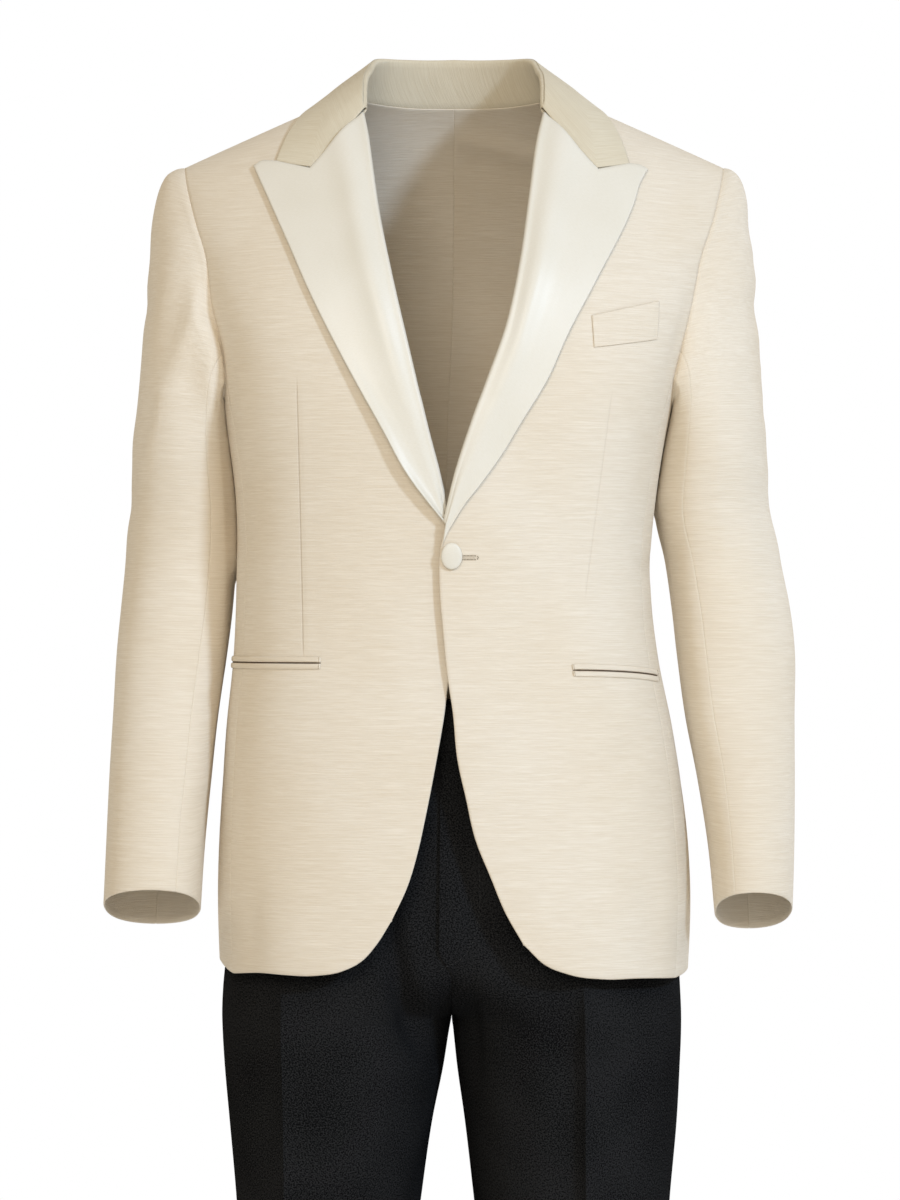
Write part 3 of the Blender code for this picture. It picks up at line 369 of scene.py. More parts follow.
def unbow(u, k):
    """Angle whose filled sine is u."""
    u = np.clip(np.asarray(u, float), -1.0, 1.0)
    s = u / (1 + 0.5 * k)
    for _ in range(8):
        s = s - (s * (1 + k) - k * s ** 3 - u) / ((1 + k) - 3 * k * s * s)
    return np.arcsin(np.clip(s, -1.0, 1.0))


def shoulder_z(x):
    """Height of the shoulder seam at x, rounded at the middle."""
    reach = np.hypot(SHOULDER_TIP_X, SHOULDER_ROUND) - np.hypot(x, SHOULDER_ROUND)
    return SHOULDER_TIP_Z + SHOULDER_SLOPE * reach


def body_row(v):
    """The row of BODY at v, without v itself."""
    return along(v, BODY[:, 0], BODY[:, 1:])


def climb_of(v):
    """Part of the quarter turn over the chest that is done at v, none below the armpit."""
    return np.maximum(v - UNDERARM_Z, 0) / (SHOULDER_V - UNDERARM_Z) * np.pi / 2


def v_of(climb):
    """v at which the quarter turn over the chest has got to climb."""
    return UNDERARM_Z + climb / (np.pi / 2) * (SHOULDER_V - UNDERARM_Z)


def body_point(ang, v):
    """Outer face of the jacket at angle ang (0 front, + to the wearer's left) and v: filled
    ellipses in plan; above the armpit a filled quarter turn up to the shoulder seam."""
    ang, v = np.broadcast_arrays(np.asarray(ang, float), np.asarray(v, float))
    row = body_row(v)
    across, fore = bow(ang, row[..., 4])
    x = row[..., 0] + row[..., 1] * across
    climb = climb_of(v)
    rise, keep = bow(climb, CHEST_SQUARENESS)
    z = np.minimum(v, UNDERARM_Z) + rise * (shoulder_z(x) - UNDERARM_Z)
    depth = np.where(fore > 0, row[..., 2], row[..., 3])
    return np.stack((x, row[..., 5] - depth * fore * keep, z), axis=-1)


def normal_of(surface, p, q):
    """Outward unit normal of surface(p, q): cross product of two small steps."""
    dp = surface(p + 1e-4, q) - surface(p - 1e-4, q)
    dq = surface(p, q + 1e-5) - surface(p, q - 1e-5)
    return unit(np.cross(dp, dq))


def in_metres(table, across):
    """A table of folds with its millimetres as metres, and its first coordinate, degrees or
    millimetres, times across."""
    return np.array(table, float) * ((across, MM) * 3 + (MM, 1, MM))


def folds(p, q, table):
    """Sum of soft folds at (p, q) in metres. Each follows a quadratic bend; across it the
    depth falls as exp(-(distance / half width) squared), along it as a half sine."""
    total = np.zeros(p.shape)
    t = np.linspace(0, 1, 60)
    mix = np.stack(((1 - t) ** 2, 2 * t * (1 - t), t * t))
    for p0, q0, p1, q1, p2, q2, wide, skew, depth in table:
        line_p = np.array((p0, p1, p2)) @ mix
        line_q = np.array((q0, q1, q2)) @ mix
        dp = p[..., None] - line_p
        dq = q[..., None] - line_q
        k = np.argmin(dp ** 2 + dq ** 2, axis=-1)
        dp = np.take_along_axis(dp, k[..., None], -1)[..., 0]
        dq = np.take_along_axis(dq, k[..., None], -1)[..., 0]
        turn = np.gradient(line_p)[k] * dq - np.gradient(line_q)[k] * dp
        width = wide * (1 - skew * np.sign(turn))
        total += depth * np.exp(-(dp ** 2 + dq ** 2) / width ** 2) * np.sin(np.pi * t[k])
    return total


def drape(ang, v):
    """Folds of the jacket body, faded out towards the armholes."""
    around = np.mod(ang + np.pi, 2 * np.pi) - np.pi
    total = folds(around * FOLD_RADIUS, v, in_metres(BODY_FOLDS, np.radians(FOLD_RADIUS)))
    seam = np.abs(np.degrees(around))
    calm = 1 - soft(v, -0.262, -0.240) * soft(seam, 58, 66) * (1 - soft(seam, 112, 120))
    return total * calm


def body(ang, v, off=0.0):
    """Jacket body moved out along its normal by off."""
    off = np.asarray(off, float)
    return body_point(ang, v) + off[..., None] * normal_of(body_point, ang, v)


def lap(side, ang, v):
    """Lift of the front of this side over the other: full near the edge, none at the dart."""
    if side < 0:
        return np.zeros(np.broadcast(ang, v).shape)
    at = body_point(ang, v)
    s = soft(-at[..., 0], -LAP_END_X, -LAP_FULL_X)
    return along(at[..., 2], LAP[:, 0], LAP[:, 1]) * s


def chart(points):
    """Body coordinates of points drawn on the plane y = 0 and seen from the front: each is
    pushed along its ray from the camera until it lies on the body."""
    plan = np.asarray(points, float) * MM
    y = np.full(len(plan), -0.10)
    for _ in range(6):
        k = (VIEW_DISTANCE + y) / VIEW_DISTANCE
        x = plan[:, 0] * k
        z = VIEW_Z + (plan[:, 1] - VIEW_Z) * k
        rise = np.clip((z - UNDERARM_Z) / (shoulder_z(x) - UNDERARM_Z), 0, 1)
        climb = unbow(rise, CHEST_SQUARENESS)
        v = np.where(z < UNDERARM_Z, z, v_of(climb))
        row = body_row(v)
        ang = unbow((x - row[:, 0]) / row[:, 1], row[:, 4])
        y = body_point(ang, v)[:, 1]
    return np.stack((ang, v), axis=-1)


def round_neck(steps, back_v, shoulder_x):
    """Curve over the back from the shoulder seam at shoulder_x to the middle at back_v: seen
    from behind its x falls as a cosine. Gives its angles, from the middle, and its v."""
    phi = np.linspace(0, np.pi / 2, steps + 1)
    keep = bow(climb_of(back_v), CHEST_SQUARENESS)[1] * np.sin(phi)
    v = v_of(np.pi / 2 - unbow(keep, CHEST_SQUARENESS))
    row = body_row(v)
    return unbow(shoulder_x * np.cos(phi) / row[:, 1], row[:, 4]), v


def resample(points, steps, surface=None):
    """Smooth curve through the points, cut into equal steps of real length."""
    points = np.asarray(points, float)
    where = np.concatenate(((0,), np.cumsum(np.linalg.norm(np.diff(points, axis=0)
                                                          * (1, 3), axis=1))))
    fine = along(np.linspace(0, where[-1], 400), where, points)
    real = fine if surface is None else surface(fine[:, 0], fine[:, 1])
    run = np.concatenate(((0,), np.cumsum(np.linalg.norm(np.diff(real, axis=0), axis=1))))
    want = np.linspace(0, run[-1], steps + 1)
    out = np.stack([np.interp(want, run, fine[:, c]) for c in (0, 1)], axis=-1)
    out[0], out[-1] = points[0], points[-1]
    return out


def join(*parts):
    """Curves joined end to end, the shared points kept once."""
    return np.concatenate([parts[0]] + [p[1:] for p in parts[1:]])


def patch(bottom, top, left, right):
    """Grid between four curves: the mean of both ruled surfaces and the corners' plane, by
    shares of the curves' length. Rows go up, columns go from left to right."""
    shares = []
    for first, second in ((bottom, top), (left, right)):
        runs = []
        for curve in (first, second):
            steps = np.linalg.norm(np.diff(curve, axis=0) * (0.2, 1), axis=1)
            run = np.concatenate(((0,), np.cumsum(steps)))
            runs.append(run / run[-1])
        shares.append((runs[0] + runs[1]) / 2)
    s = shares[0][None, :, None]
    t = shares[1][:, None, None]
    flat = ((1 - t) * bottom[None] + t * top[None]
            + (1 - s) * left[:, None] + s * right[:, None])
    corners = ((1 - t) * ((1 - s) * bottom[0] + s * bottom[-1])
               + t * ((1 - s) * top[0] + s * top[-1]))
    return flat - corners


def drawn(points, steps):
    """A drawn outline as body coordinates in equal steps."""
    return resample(chart(resample(points, 60)), steps, body_point)


def shorten(grid, row, gap):
    """Draw the first row (0) or the last row (-1) of a point grid back by gap."""
    g = grid.copy()
    g[row] += gap * unit(grid[1 if row == 0 else -2] - grid[row])
    return g


def measure(ang, v):
    """Cloth coordinates in metres: length across from the front's centre at this v, and the
    height, which above the armpit is the length along the panel at this angle."""
    t = np.linspace(0, 1, 25).reshape((-1,) + (1,) * np.ndim(ang))
    ring = body_point(ang * t, v + 0 * t)
    across = np.sum(np.linalg.norm(np.diff(ring, axis=0), axis=-1), axis=0) * np.sign(ang)
    low = np.minimum(v, UNDERARM_Z)
    line = body_point(ang + 0 * t, low + (v - low) * t)
    up = low + np.sum(np.linalg.norm(np.diff(line, axis=0), axis=-1), axis=0)
    return np.stack((across, up), axis=-1)


def lengths(grid):
    """Cloth coordinates in metres of a point grid: running lengths across and up."""
    across = np.linalg.norm(np.diff(grid, axis=1), axis=-1)
    up = np.linalg.norm(np.diff(grid, axis=0), axis=-1)
    return np.stack((np.pad(np.cumsum(across, axis=1), ((0, 0), (1, 0))),
                     np.pad(np.cumsum(up, axis=0), ((1, 0), (0, 0)))), axis=-1)


# Shares of the wall by which the borders of both faces draw in at a turned edge, at a seam
# and at the armhole's seam, and by which the middle of a turned edge stands out.
TURN_IN = 0.25
SEAM_IN = 0.10
GROOVE_IN = 0.45
TURN_OUT = 0.40


def wall(name, outer, inner, material, uv, turned=(1, 1, 1, 1), near=0.0006):
    """Closed wall between two point grids. A row lies at near inside each border, which keeps
    the edge crisp. turned says for the bottom, top, left and right edge what it is: 1 turned,
    0 a seam, whose middle stands out by SEAM_LAP, -1 the armhole's seam, which is a groove."""
    def tighten(g, first, last):
        return np.concatenate((g[:1], g[:1] + (g[1:2] - g[:1]) * first, g[1:-1],
                               g[-1:] + (g[-2:-1] - g[-1:]) * last, g[-1:]))
    grids = [outer, inner, uv]
    for _ in range(2):
        step = np.mean(np.linalg.norm(np.diff(grids[0], axis=0), axis=-1), axis=-1)
        shares = min(0.5, near / step[0]), min(0.5, near / step[-1])
        grids = [tighten(g, *shares).swapaxes(0, 1) for g in grids]
    outer, inner, uv = grids
    rows, cols = outer.shape[:2]
    index = np.arange(rows * cols).reshape(rows, cols)
    rim = np.concatenate((index[0, :-1], index[:-1, -1], index[-1, :0:-1], index[:0:-1, 0]))
    sides = np.repeat((0, 3, 1, 2), (cols - 1, rows - 1, cols - 1, rows - 1))
    bulge = np.asarray(turned, float)[sides]
    bulge = np.minimum(bulge, np.roll(bulge, 1))
    r, c = np.divmod(rim, cols)
    inside = index[np.clip(r, 1, rows - 2), np.clip(c, 1, cols - 2)]
    flat_o, flat_i = outer.reshape(-1, 3).copy(), inner.reshape(-1, 3).copy()
    away = unit(flat_o[rim] - flat_o[inside])
    edge_o, edge_i = flat_o[rim], flat_i[rim]
    thick = np.linalg.norm(edge_o - edge_i, axis=-1, keepdims=True)
    sunk = np.maximum(-bulge, 0) * soft(edge_o[:, 2], UNDERARM_Z - 0.010, UNDERARM_Z)
    draw = np.where(bulge > 0, TURN_IN, SEAM_IN + (GROOVE_IN - SEAM_IN) * sunk)[:, None]
    bulge = np.maximum(bulge, 0)
    flat_o[rim] = edge_o + (edge_i - edge_o) * draw
    flat_i[rim] = edge_i + (edge_o - edge_i) * draw
    middle = (edge_o + edge_i) / 2 + away * (bulge[:, None] * TURN_OUT * thick + SEAM_LAP)
    verts = np.concatenate((flat_o, flat_i, middle))
    a, b = index[:-1, :-1].ravel(), index[:-1, 1:].ravel()
    d, e = index[1:, 1:].ravel(), index[1:, :-1].ravel()
    far = rows * cols
    ring = 2 * far + np.arange(len(rim))
    after, ring_after = np.roll(rim, -1), np.roll(ring, -1)
    faces = np.concatenate((np.stack((a, b, d, e), 1), np.stack((a, e, d, b), 1) + far,
                            np.stack((after, rim, ring, ring_after), 1),
                            np.stack((ring_after, ring, rim + far, after + far), 1)))
    cloth = uv.reshape(-1, 2)
    return piece(name, verts, faces, material, np.concatenate((cloth, cloth, cloth[rim])))


SLUB_TAN = (0.775, 0.690, 0.560, 1)
SLUB_CREAM = (0.870, 0.800, 0.685, 1)
CLOUD_TINT = (0.975, 0.960, 0.935)
# Colour of the painted shade along a dart's groove.
DART_GROOVE_SHADE = (0.40, 0.31, 0.21, 1)
DART_WIDTH = 0.0011


def on_cloth(w):
    """Wires for the places across and up on the cloth in metres, from its own UV map."""
    uv = w.node("ShaderNodeUVMap", {"uv_map": "cloth"})
    across = w.node("ShaderNodeSeparateXYZ", (), {0: uv})
    return across, across.output(1)


def speckle(w, cloth, across, tall, detail):
    """Noise on the cloth with this many cells a metre across and up."""
    at = w.node("ShaderNodeCombineXYZ", (), {0: cloth[0] * across, 1: cloth[1] * tall})
    return w.node("ShaderNodeTexNoise", (), {"Vector": at, "Scale": 1.0, "Detail": detail})


def relief(w, height, strength, distance):
    """Normal of a surface that this height roughens."""
    return w.node("ShaderNodeBump", (),
                  {"Strength": strength, "Distance": distance, "Height": height})


def suiting(name, darts=(), shade_factor=1.0):
    """Ivory suiting: long thin horizontal slubs from stretched noise in cream and tan, also
    as relief. A dart is a line (x, z, x, z, depth) in object coordinates, sunk as relief and
    darkened along it with painted shade of its groove. The last argument darkens the whole
    cloth as painted shade, its blue by that factor to the power 1.6."""
    made, w, shader = painted(name)
    cloth = on_cloth(w)
    fine = speckle(w, cloth, 75.0, 2400.0, 2.0)
    long = speckle(w, cloth, 30.0, 1300.0, 2.0)
    band = speckle(w, cloth, 12.0, 420.0, 1.0)
    broad = speckle(w, cloth, 9.0, 7.0, 1.0)
    share = (fine * 0.36 + long * 0.48 + band * 0.16).ramp(0.34, 0.66)
    base = share.mix(SLUB_TAN, SLUB_CREAM)
    # Painted shade: the cloth is darkened by the given factor, its blue the most.
    shade = np.array((shade_factor, shade_factor, shade_factor ** 1.6))
    cloud = broad.ramp(0.35, 0.65).mix((*(shade * CLOUD_TINT), 1), (*shade, 1))
    base = w.node("ShaderNodeMix", {"data_type": "RGBA", "blend_type": "MULTIPLY"},
                  {0: 1.0, 6: base, 7: cloud}, 2)
    height = share * 0.8 + fine * 0.4
    if darts:
        x = w.node("ShaderNodeSeparateXYZ", (), {0: w.node("ShaderNodeTexCoord", (), (), 3)})
        z = x.output(2)
        for x0, z0, x1, z1, depth in darts:
            slant = (x1 - x0) / (z1 - z0)
            off = x - (z * slant + (x0 - z0 * slant))
            inside = z.ramp(z1 - 0.004, z1 + 0.012) * z.ramp(z0 + 0.004, z0 - 0.016)
            line = (1.0 - off.math("ABSOLUTE", off).ramp(0.0, DART_WIDTH)) * inside
            flank = off.ramp(-0.0002, 0.0050) * off.ramp(0.0120, 0.0040) * inside
            height = height - line * (2.4 * depth) + flank * (1.1 * depth)
            # Painted shade: the dart's line is darkened brown where shade falls in its groove.
            base = (line * (0.30 * depth)).mix(base, DART_GROOVE_SHADE)
    finish(w, shader, Base_Color=base, Normal=relief(w, height, 0.40, 0.0005), Roughness=0.82,
           Sheen_Weight=0.12, Sheen_Roughness=0.5)
    return made


ivory = suiting("ivory_suiting")
front_ivory = {1: suiting("ivory_suiting_left", ((0.129, -0.232, 0.107, -0.403, 0.45),)),
               -1: suiting("ivory_suiting_right", ((-0.1285, -0.221, -0.1235, -0.450, 1.0),))}
NAME = {1: "left", -1: "right"}

NECK_ANG = float(unbow(NECK_POINT_X / BODY[-1, 2], BODY[-1, 5]))
armhole, fronts, necks, rolls = {}, {}, {}, {}
for side in (1, -1):
    turn = np.array((np.radians(side), 1.0))
    holes = [resample(np.array(seam) * turn, n, body_point)
             for seam, n in ((ARMHOLE_FRONT[side], ARM_STEPS), (ARMHOLE_UNDER, UNDER_STEPS),
                             (ARMHOLE_BACK, ARM_STEPS))]
    armhole[side] = join(*holes)
    hem_v = HEM_V[side]
    front_seam = np.linspace((SIDE_FRONT_DEG, hem_v[0]), ARMHOLE_UNDER[0], SIDE_STEPS + 1) * turn
    back_seam = np.linspace((SIDE_BACK_DEG, hem_v[2]), ARMHOLE_BACK[0], SIDE_STEPS + 1) * turn

    def panel(name, uv, turned, paint, shift):
        """One body panel from its grid of body coordinates."""
        lift = lap(side, uv[..., 0], uv[..., 1]) if name == "front" else 0.0
        lift = lift + drape(uv[..., 0], uv[..., 1])
        outer = body(uv[..., 0], uv[..., 1], lift)
        inner = body(uv[..., 0], uv[..., 1], lift - JACKET_WALL)
        label = "%s_%s" % (name, NAME[side])
        made = wall(label + "_cloth", outer, inner, paint,
                    measure(uv[..., 0], uv[..., 1]) + (shift, 0), turned)
        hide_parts(label)
        return outer

    # Front
    edge = drawn(EDGE[side], EDGE_STEPS)
    roll = drawn(ROLL[side], ROLL_STEPS)
    neck = resample(np.array((roll[-1], (NECK_ANG * side, SHOULDER_V))), NECK_FRONT_STEPS,
                    body_point)
    hem = np.concatenate((chart(HEM[side]), front_seam[:1]))
    hem = resample(hem, SHOULDER_STEPS, body_point)
    xs = np.linspace(NECK_POINT_X, SHOULDER_TIP_X, SHOULDER_STEPS + 1)
    shoulder = np.stack((unbow(xs / BODY[-1, 2], BODY[-1, 5]) * side,
                         np.full(len(xs), SHOULDER_V)), axis=-1)
    shoulder[-1] = armhole[side][0]
    uv = patch(hem, shoulder, join(edge, roll, neck), join(front_seam, holes[0][::-1]))
    fronts[side] = panel("front", uv, (1, 0, 1, -1), front_ivory[side], 0.0)
    rolls[side] = roll

    # Side
    hem_deg = np.linspace(SIDE_FRONT_DEG, SIDE_BACK_DEG, UNDER_STEPS + 1)
    hem = along(hem_deg, (SIDE_FRONT_DEG, 90.0, SIDE_BACK_DEG), hem_v)
    hem = np.stack((hem_deg, hem), axis=-1) * turn
    uv = patch(hem, holes[1], front_seam, back_seam)
    panel("side", uv, (1, -1, 0, 0), ivory, 1.3)

    # Back
    neck_ang, neck_v = round_neck(NECK_BACK_STEPS, BACK_NECK_V, NECK_POINT_X)
    back_neck = np.stack(((np.pi - neck_ang) * side, neck_v), axis=-1)
    back_neck[0] = (np.pi - NECK_ANG) * side, SHOULDER_V
    back_shoulder = shoulder[::-1].copy()
    back_shoulder[:, 0] = (np.pi - np.abs(back_shoulder[:, 0])) * side
    back_shoulder[0] = armhole[side][-1]
    hem = np.linspace((SIDE_BACK_DEG, hem_v[2]), (180.0, BACK_HEM_V),
                      SHOULDER_STEPS + NECK_BACK_STEPS + 1) * turn
    centre = np.linspace((180.0, BACK_HEM_V), (180.0, BACK_NECK_V),
                         SIDE_STEPS + ARM_STEPS + 1) * turn
    centre[-1] = back_neck[-1]
    uv = patch(hem, join(back_shoulder, back_neck), join(back_seam, holes[2]), centre)
    panel("back", uv, (1, 0, -1, 0), ivory, 2.6)
    necks[side] = (neck, back_neck)

# Lapels
# Each is the front's turned-back facing in ivory satin: it wraps the roll edge in a soft
# round fold and lies on the chest, its lower outer edge standing off the cloth.
LAPEL_WALL = 0.0014
SLIT_HALF_GAP = 0.0003

# Middle of the cloth over the chest: at the outer edge, and how much more near the roll.
LIE = 0.00195
LIE_BY_ROLL = 0.0022
LIE_SLOPE = 0.0003

# The fold round the front's edge: radius and middle, and by steps up the roll the degrees it
# turns through and the length of its inner leg.
FOLD_R = 0.0025
FOLD_N = -0.00025
FOLD_DEG = (70.0, 74.0, 130.0, 180.0)
LEG = (0.0003, 0.0003, 0.0004, 0.0010, 0.0030, 0.0050)

# The soft roll beside the fold: its height, and where it is highest as a share of the width.
ROLL_FULL = 0.0036
ROLL_WIDTH = 0.17

# Outlines in millimetres as seen from the front: outer edge, gorge seam, the notch below the
# collar's end, and the peak.
LAPEL = {
    1: ((-9.9, -357.0), (-6.6, -347.8), (-1.0, -337.5), (6.4, -325.0), (22.6, -303.4),
        (40.6, -278.2), (55.2, -254.3), (77.4, -218.2), (94.9, -179.6), (119.3, -133.4),
        (150.4, -69.5), (155.4, -53.0), (161.3, -42.3)),
    -1: ((-8.6, -336.2), (-21.5, -320.4), (-38.6, -296.5), (-58.2, -261.0), (-81.6, -219.9),
         (-99.2, -187.1), (-119.8, -146.0), (-139.4, -101.4), (-155.4, -65.5), (-166.7, -40.2))}
GORGE = {
    1: ((76.4, 4.4), (97.4, -20.0), (120.1, -42.6)),
    -1: ((-77.3, 4.4), (-98.3, -18.6), (-120.3, -41.9))}
NOTCH = {
    1: ((120.1, -42.6), (146.2, -37.7)),
    -1: ((-120.3, -41.9), (-148.7, -36.0))}
PEAK = {
    1: ((146.2, -37.7), (152.9, -38.5), (161.3, -42.3)),
    -1: ((-148.7, -36.0), (-159.6, -36.0), (-166.7, -40.2))}

# Height of the outer edge over the chest beyond the plain lapel. Columns: share of the roll
# from the break to the top, height on the left lapel, height on the right one.
LIFT = np.array(((0.0, 0.0000, 0.0050), (0.03, 0.0002, 0.0060), (0.12, 0.0010, 0.0070),
                 (0.25, 0.0012, 0.0056), (0.45, 0.0012, 0.0034), (0.70, 0.0008, 0.0022),
                 (1.0, 0.0006, 0.0014)))
SATIN_LOW = (0.785, 0.748, 0.648, 1)
SATIN_HIGH = (0.820, 0.786, 0.698, 1)


def sateen(name):
    """Ivory satin: smooth and softly glossy, with a barely visible cross grain."""
    made, w, shader = painted(name)
    cloth = on_cloth(w)
    grain = speckle(w, cloth, 260.0, 1500.0, 2.0)
    cloud = speckle(w, cloth, 16.0, 16.0, 1.0)
    base = (grain * 0.5 + cloud * 0.5).ramp(0.35, 0.65).mix(SATIN_LOW, SATIN_HIGH)
    finish(w, shader, Base_Color=base, Normal=relief(w, grain, 0.25, 0.0002),
           Roughness=grain * 0.12 + 0.34, Specular_IOR_Level=0.42, Sheen_Weight=0.18,
           Sheen_Roughness=0.35)
    return made


satin = sateen("ivory_satin")
gorge_rows = {}
for side in (1, -1):
    outer_front = fronts[side]
    roll = rolls[side]
    rows = ROLL_STEPS + 1
    top = join(drawn(GORGE[side], 3 * FINE), drawn(NOTCH[side], 2 * FINE),
               drawn(PEAK[side], 2 * FINE))
    rim = drawn(LAPEL[side], ROLL_STEPS)
    rim[-1] = top[-1]
    gorge_rows[side] = top
    uv = patch(np.linspace(roll[0], rim[0], 7 * FINE + 1), top, roll, rim)
    share = np.linspace(0, 1, 7 * FINE + 1)[None, :]
    up = np.linspace(0, 1, rows)[:, None]
    mid = (LIE + LIE_BY_ROLL * (1 - share) ** 2 * soft(share, 0, 0.25)
           + LIE_SLOPE * (1 - share))
    stand = along(up, LIFT[:, 0], LIFT[:, 1 if side > 0 else 2]) * share ** 1.8
    full = soft(up, 0.15, 0.75) * (share / ROLL_WIDTH) ** 2
    stand = stand + ROLL_FULL * full * np.exp(1 - (share / ROLL_WIDTH) ** 2)
    lift = lap(side, uv[..., 0], uv[..., 1]) + drape(uv[..., 0], uv[..., 1]) * (1 - share)
    face = body(uv[..., 0], uv[..., 1], lift + mid + stand)
    face_n = normal_of(body_point, uv[..., 0], uv[..., 1])
    p0 = outer_front[EDGE_STEPS:EDGE_STEPS + rows, 0]
    n0 = face_n[:, 0]
    gorge = unit(face[-1, 1] - face[-1, 0])
    chord = unit(outer_front[EDGE_STEPS:EDGE_STEPS + rows, 1] - p0)
    chord = unit(chord + (gorge - chord) * soft(up, 1 - FINE / rows, 1))
    chord = unit(chord - np.sum(chord * n0, axis=-1, keepdims=True) * n0)
    step = np.arange(rows) / FINE
    last = np.radians(np.interp(step, np.arange(len(FOLD_DEG)), FOLD_DEG))[:, None]
    leg = np.interp(step, np.arange(len(LEG)), LEG)
    turn = np.linspace(1, 0, 12)[None, :] * last
    turn = np.concatenate((last, turn[:, :-1]), axis=1)
    e = -FOLD_R * np.sin(turn)
    n = FOLD_N + FOLD_R * np.cos(turn)
    e[:, 0] -= leg * np.cos(last[:, 0])
    n[:, 0] -= leg * np.sin(last[:, 0])
    mids = p0[:, None] + e[..., None] * chord[:, None] + n[..., None] * n0[:, None]
    tilt = -np.sin(turn)[..., None] * chord[:, None] + np.cos(turn)[..., None] * n0[:, None]
    face[:, 0] = p0 + (FOLD_N + FOLD_R) * n0
    middle = np.concatenate((mids, face), axis=1)
    across = np.gradient(face, axis=1)
    upward = np.gradient(face, axis=0)
    real_n = unit(np.cross(across, upward)) * side
    real_n[:, :3] = face_n[:, :3]
    normal = np.concatenate((tilt, real_n), axis=1)
    outer, inner = (shorten(middle + normal * off, -1, SLIT_HALF_GAP)
                    for off in (LAPEL_WALL / 2, -LAPEL_WALL / 2))
    label = "lapel_" + NAME[side]
    made = wall(label + "_cloth", outer, inner, satin, lengths(middle))
    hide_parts(label)

# Collar
# Top collar of the jacket's own suiting, cut on the cross and undercollar felled to it: a
# stand round the neck, a soft roll and a fall over the back, with its ends at the gorge. Its
# suiting is painted a little darker all over, as shade.
BUTT = 0.0008
COLLAR_BACK_V = -0.0322
COLLAR_SHOULDER_X = 0.118
COLLAR_ROLL_R = 0.0023
# Painted shade on the collar: its suiting is darkened by this factor.
COLLAR_SHADE = 0.885
GORGE_TUCK = 0.0045
ROLL_DEG = (165.0, 140.0, 115.0, 90.0, 65.0, 40.0, 18.0)

# Height of the fall's middle over the back, and how much more by the roll and at its middle.
FALL_LIE = 0.00195
FALL_BY_ROLL = 0.0019
FALL_SWELL = 0.0042

# The stand's rise from the neck seam. Columns: steps from the gorge, x outwards, y, z.
STAND = np.array(((0.0, -0.0050, -0.0020, 0.0015), (1.0, -0.0060, -0.0030, 0.0070),
                  (2.0, -0.0110, -0.0030, 0.0130), (3.0, -0.0180, -0.0020, 0.0190),
                  (4.5, -0.0140, -0.0100, 0.0300), (6.0, -0.0060, -0.0110, 0.0350),
                  (8.0, 0.0000, -0.0105, 0.0370)))


def over(u, w):
    """Body coordinates of (u, w), where w runs on over the shoulder seam down the back."""
    back = w > SHOULDER_V
    v = np.where(back, 2 * SHOULDER_V - w, w)
    ang = np.where(back, np.sign(u + 1e-12) * np.pi - u, u)
    return ang, v


halves = []
for side in (1, -1):
    neck, back_neck = necks[side]
    flip = np.array((side * 1.0, 1.0))
    back_w = np.stack((np.pi - np.abs(back_neck[:, 0]), 2 * SHOULDER_V - back_neck[:, 1]),
                      axis=-1) * flip
    ground0 = join(neck, back_w)
    rim_u, rim_v = round_neck(8, COLLAR_BACK_V, COLLAR_SHOULDER_X)
    rim_back = np.stack((rim_u, 2 * SHOULDER_V - rim_v), axis=-1) * flip
    rim_points = np.concatenate((gorge_rows[side][5 * FINE][None], rim_back[::2]))
    count = NECK_FRONT_STEPS + NECK_BACK_STEPS
    ground1 = resample(rim_points, count, lambda p, q: body_point(*over(p, q)))
    end = gorge_rows[side][:5 * FINE + 1]
    uw = patch(end, np.linspace(ground0[-1], ground1[-1], 5 * FINE + 1), ground0, ground1)
    ang, v = over(uw[..., 0], uw[..., 1])
    ang[-1] = np.pi * side
    normal = normal_of(body_point, ang, v)
    ground = body_point(ang, v)
    n0 = normal[:, 0]
    base = ground[:, 0]
    step = np.arange(count + 1.0) / FINE
    rise = along(step, STAND[:, 0], STAND[:, 1:]) * (side, 1, 1)
    gorge = ground[0, 1] - ground[0, 0]
    first = -GORGE_TUCK * unit(gorge - np.dot(gorge, n0[0]) * n0[0])
    share = np.clip(step, 0, 1)[:, None]
    rise = np.where(share < 1, first + (rise[FINE] - first) * share, rise)
    up = unit(rise)
    out = unit(n0 - np.sum(n0 * up, axis=-1, keepdims=True) * up)
    t = np.linspace(0, 0.9, 7)[:, None, None]
    stand_mid = (base - (n0 * BUTT - up * SLIT_HALF_GAP) * (1 - t) - out * BUTT * t + rise * t)
    stand_n = -unit(n0 * (1 - t) + out * t)
    turn = np.radians(ROLL_DEG)[:, None, None]
    roll_n = out * np.cos(turn) + up * np.sin(turn)
    roll_mid = base + rise + out * (COLLAR_ROLL_R - BUTT) + roll_n * COLLAR_ROLL_R
    q = np.linspace(0, 1, 5 * FINE + 1)[:, None, None]
    full = (np.linalg.norm(rise, axis=-1)[:, None] / STAND[-1, 3])[None]
    off = FALL_LIE + FALL_BY_ROLL * (1 - q) ** 2 + FALL_SWELL * full * 4 * q * (1 - q)
    fall_mid = (ground.transpose(1, 0, 2) + off * normal.transpose(1, 0, 2)
                + rise[None] * (1 - q) ** 1.15)
    fall_n = normal.transpose(1, 0, 2)
    grid_n = unit(np.cross(np.gradient(fall_mid, axis=1), np.gradient(fall_mid, axis=0)))
    grid_n *= np.sign(np.sum(grid_n * fall_n, axis=-1, keepdims=True))
    blend = np.minimum(step / 2, 1)[None, :, None]
    fall_h = unit(grid_n * blend + fall_n * (1 - blend))
    middle = np.concatenate((stand_mid, roll_mid, fall_mid)).transpose(1, 0, 2)
    tilt = np.concatenate((stand_n, roll_n, fall_h)).transpose(1, 0, 2)
    halves.append([shorten(middle + tilt * off, 0, SLIT_HALF_GAP)
                   for off in (LAPEL_WALL / 2, -LAPEL_WALL / 2)])
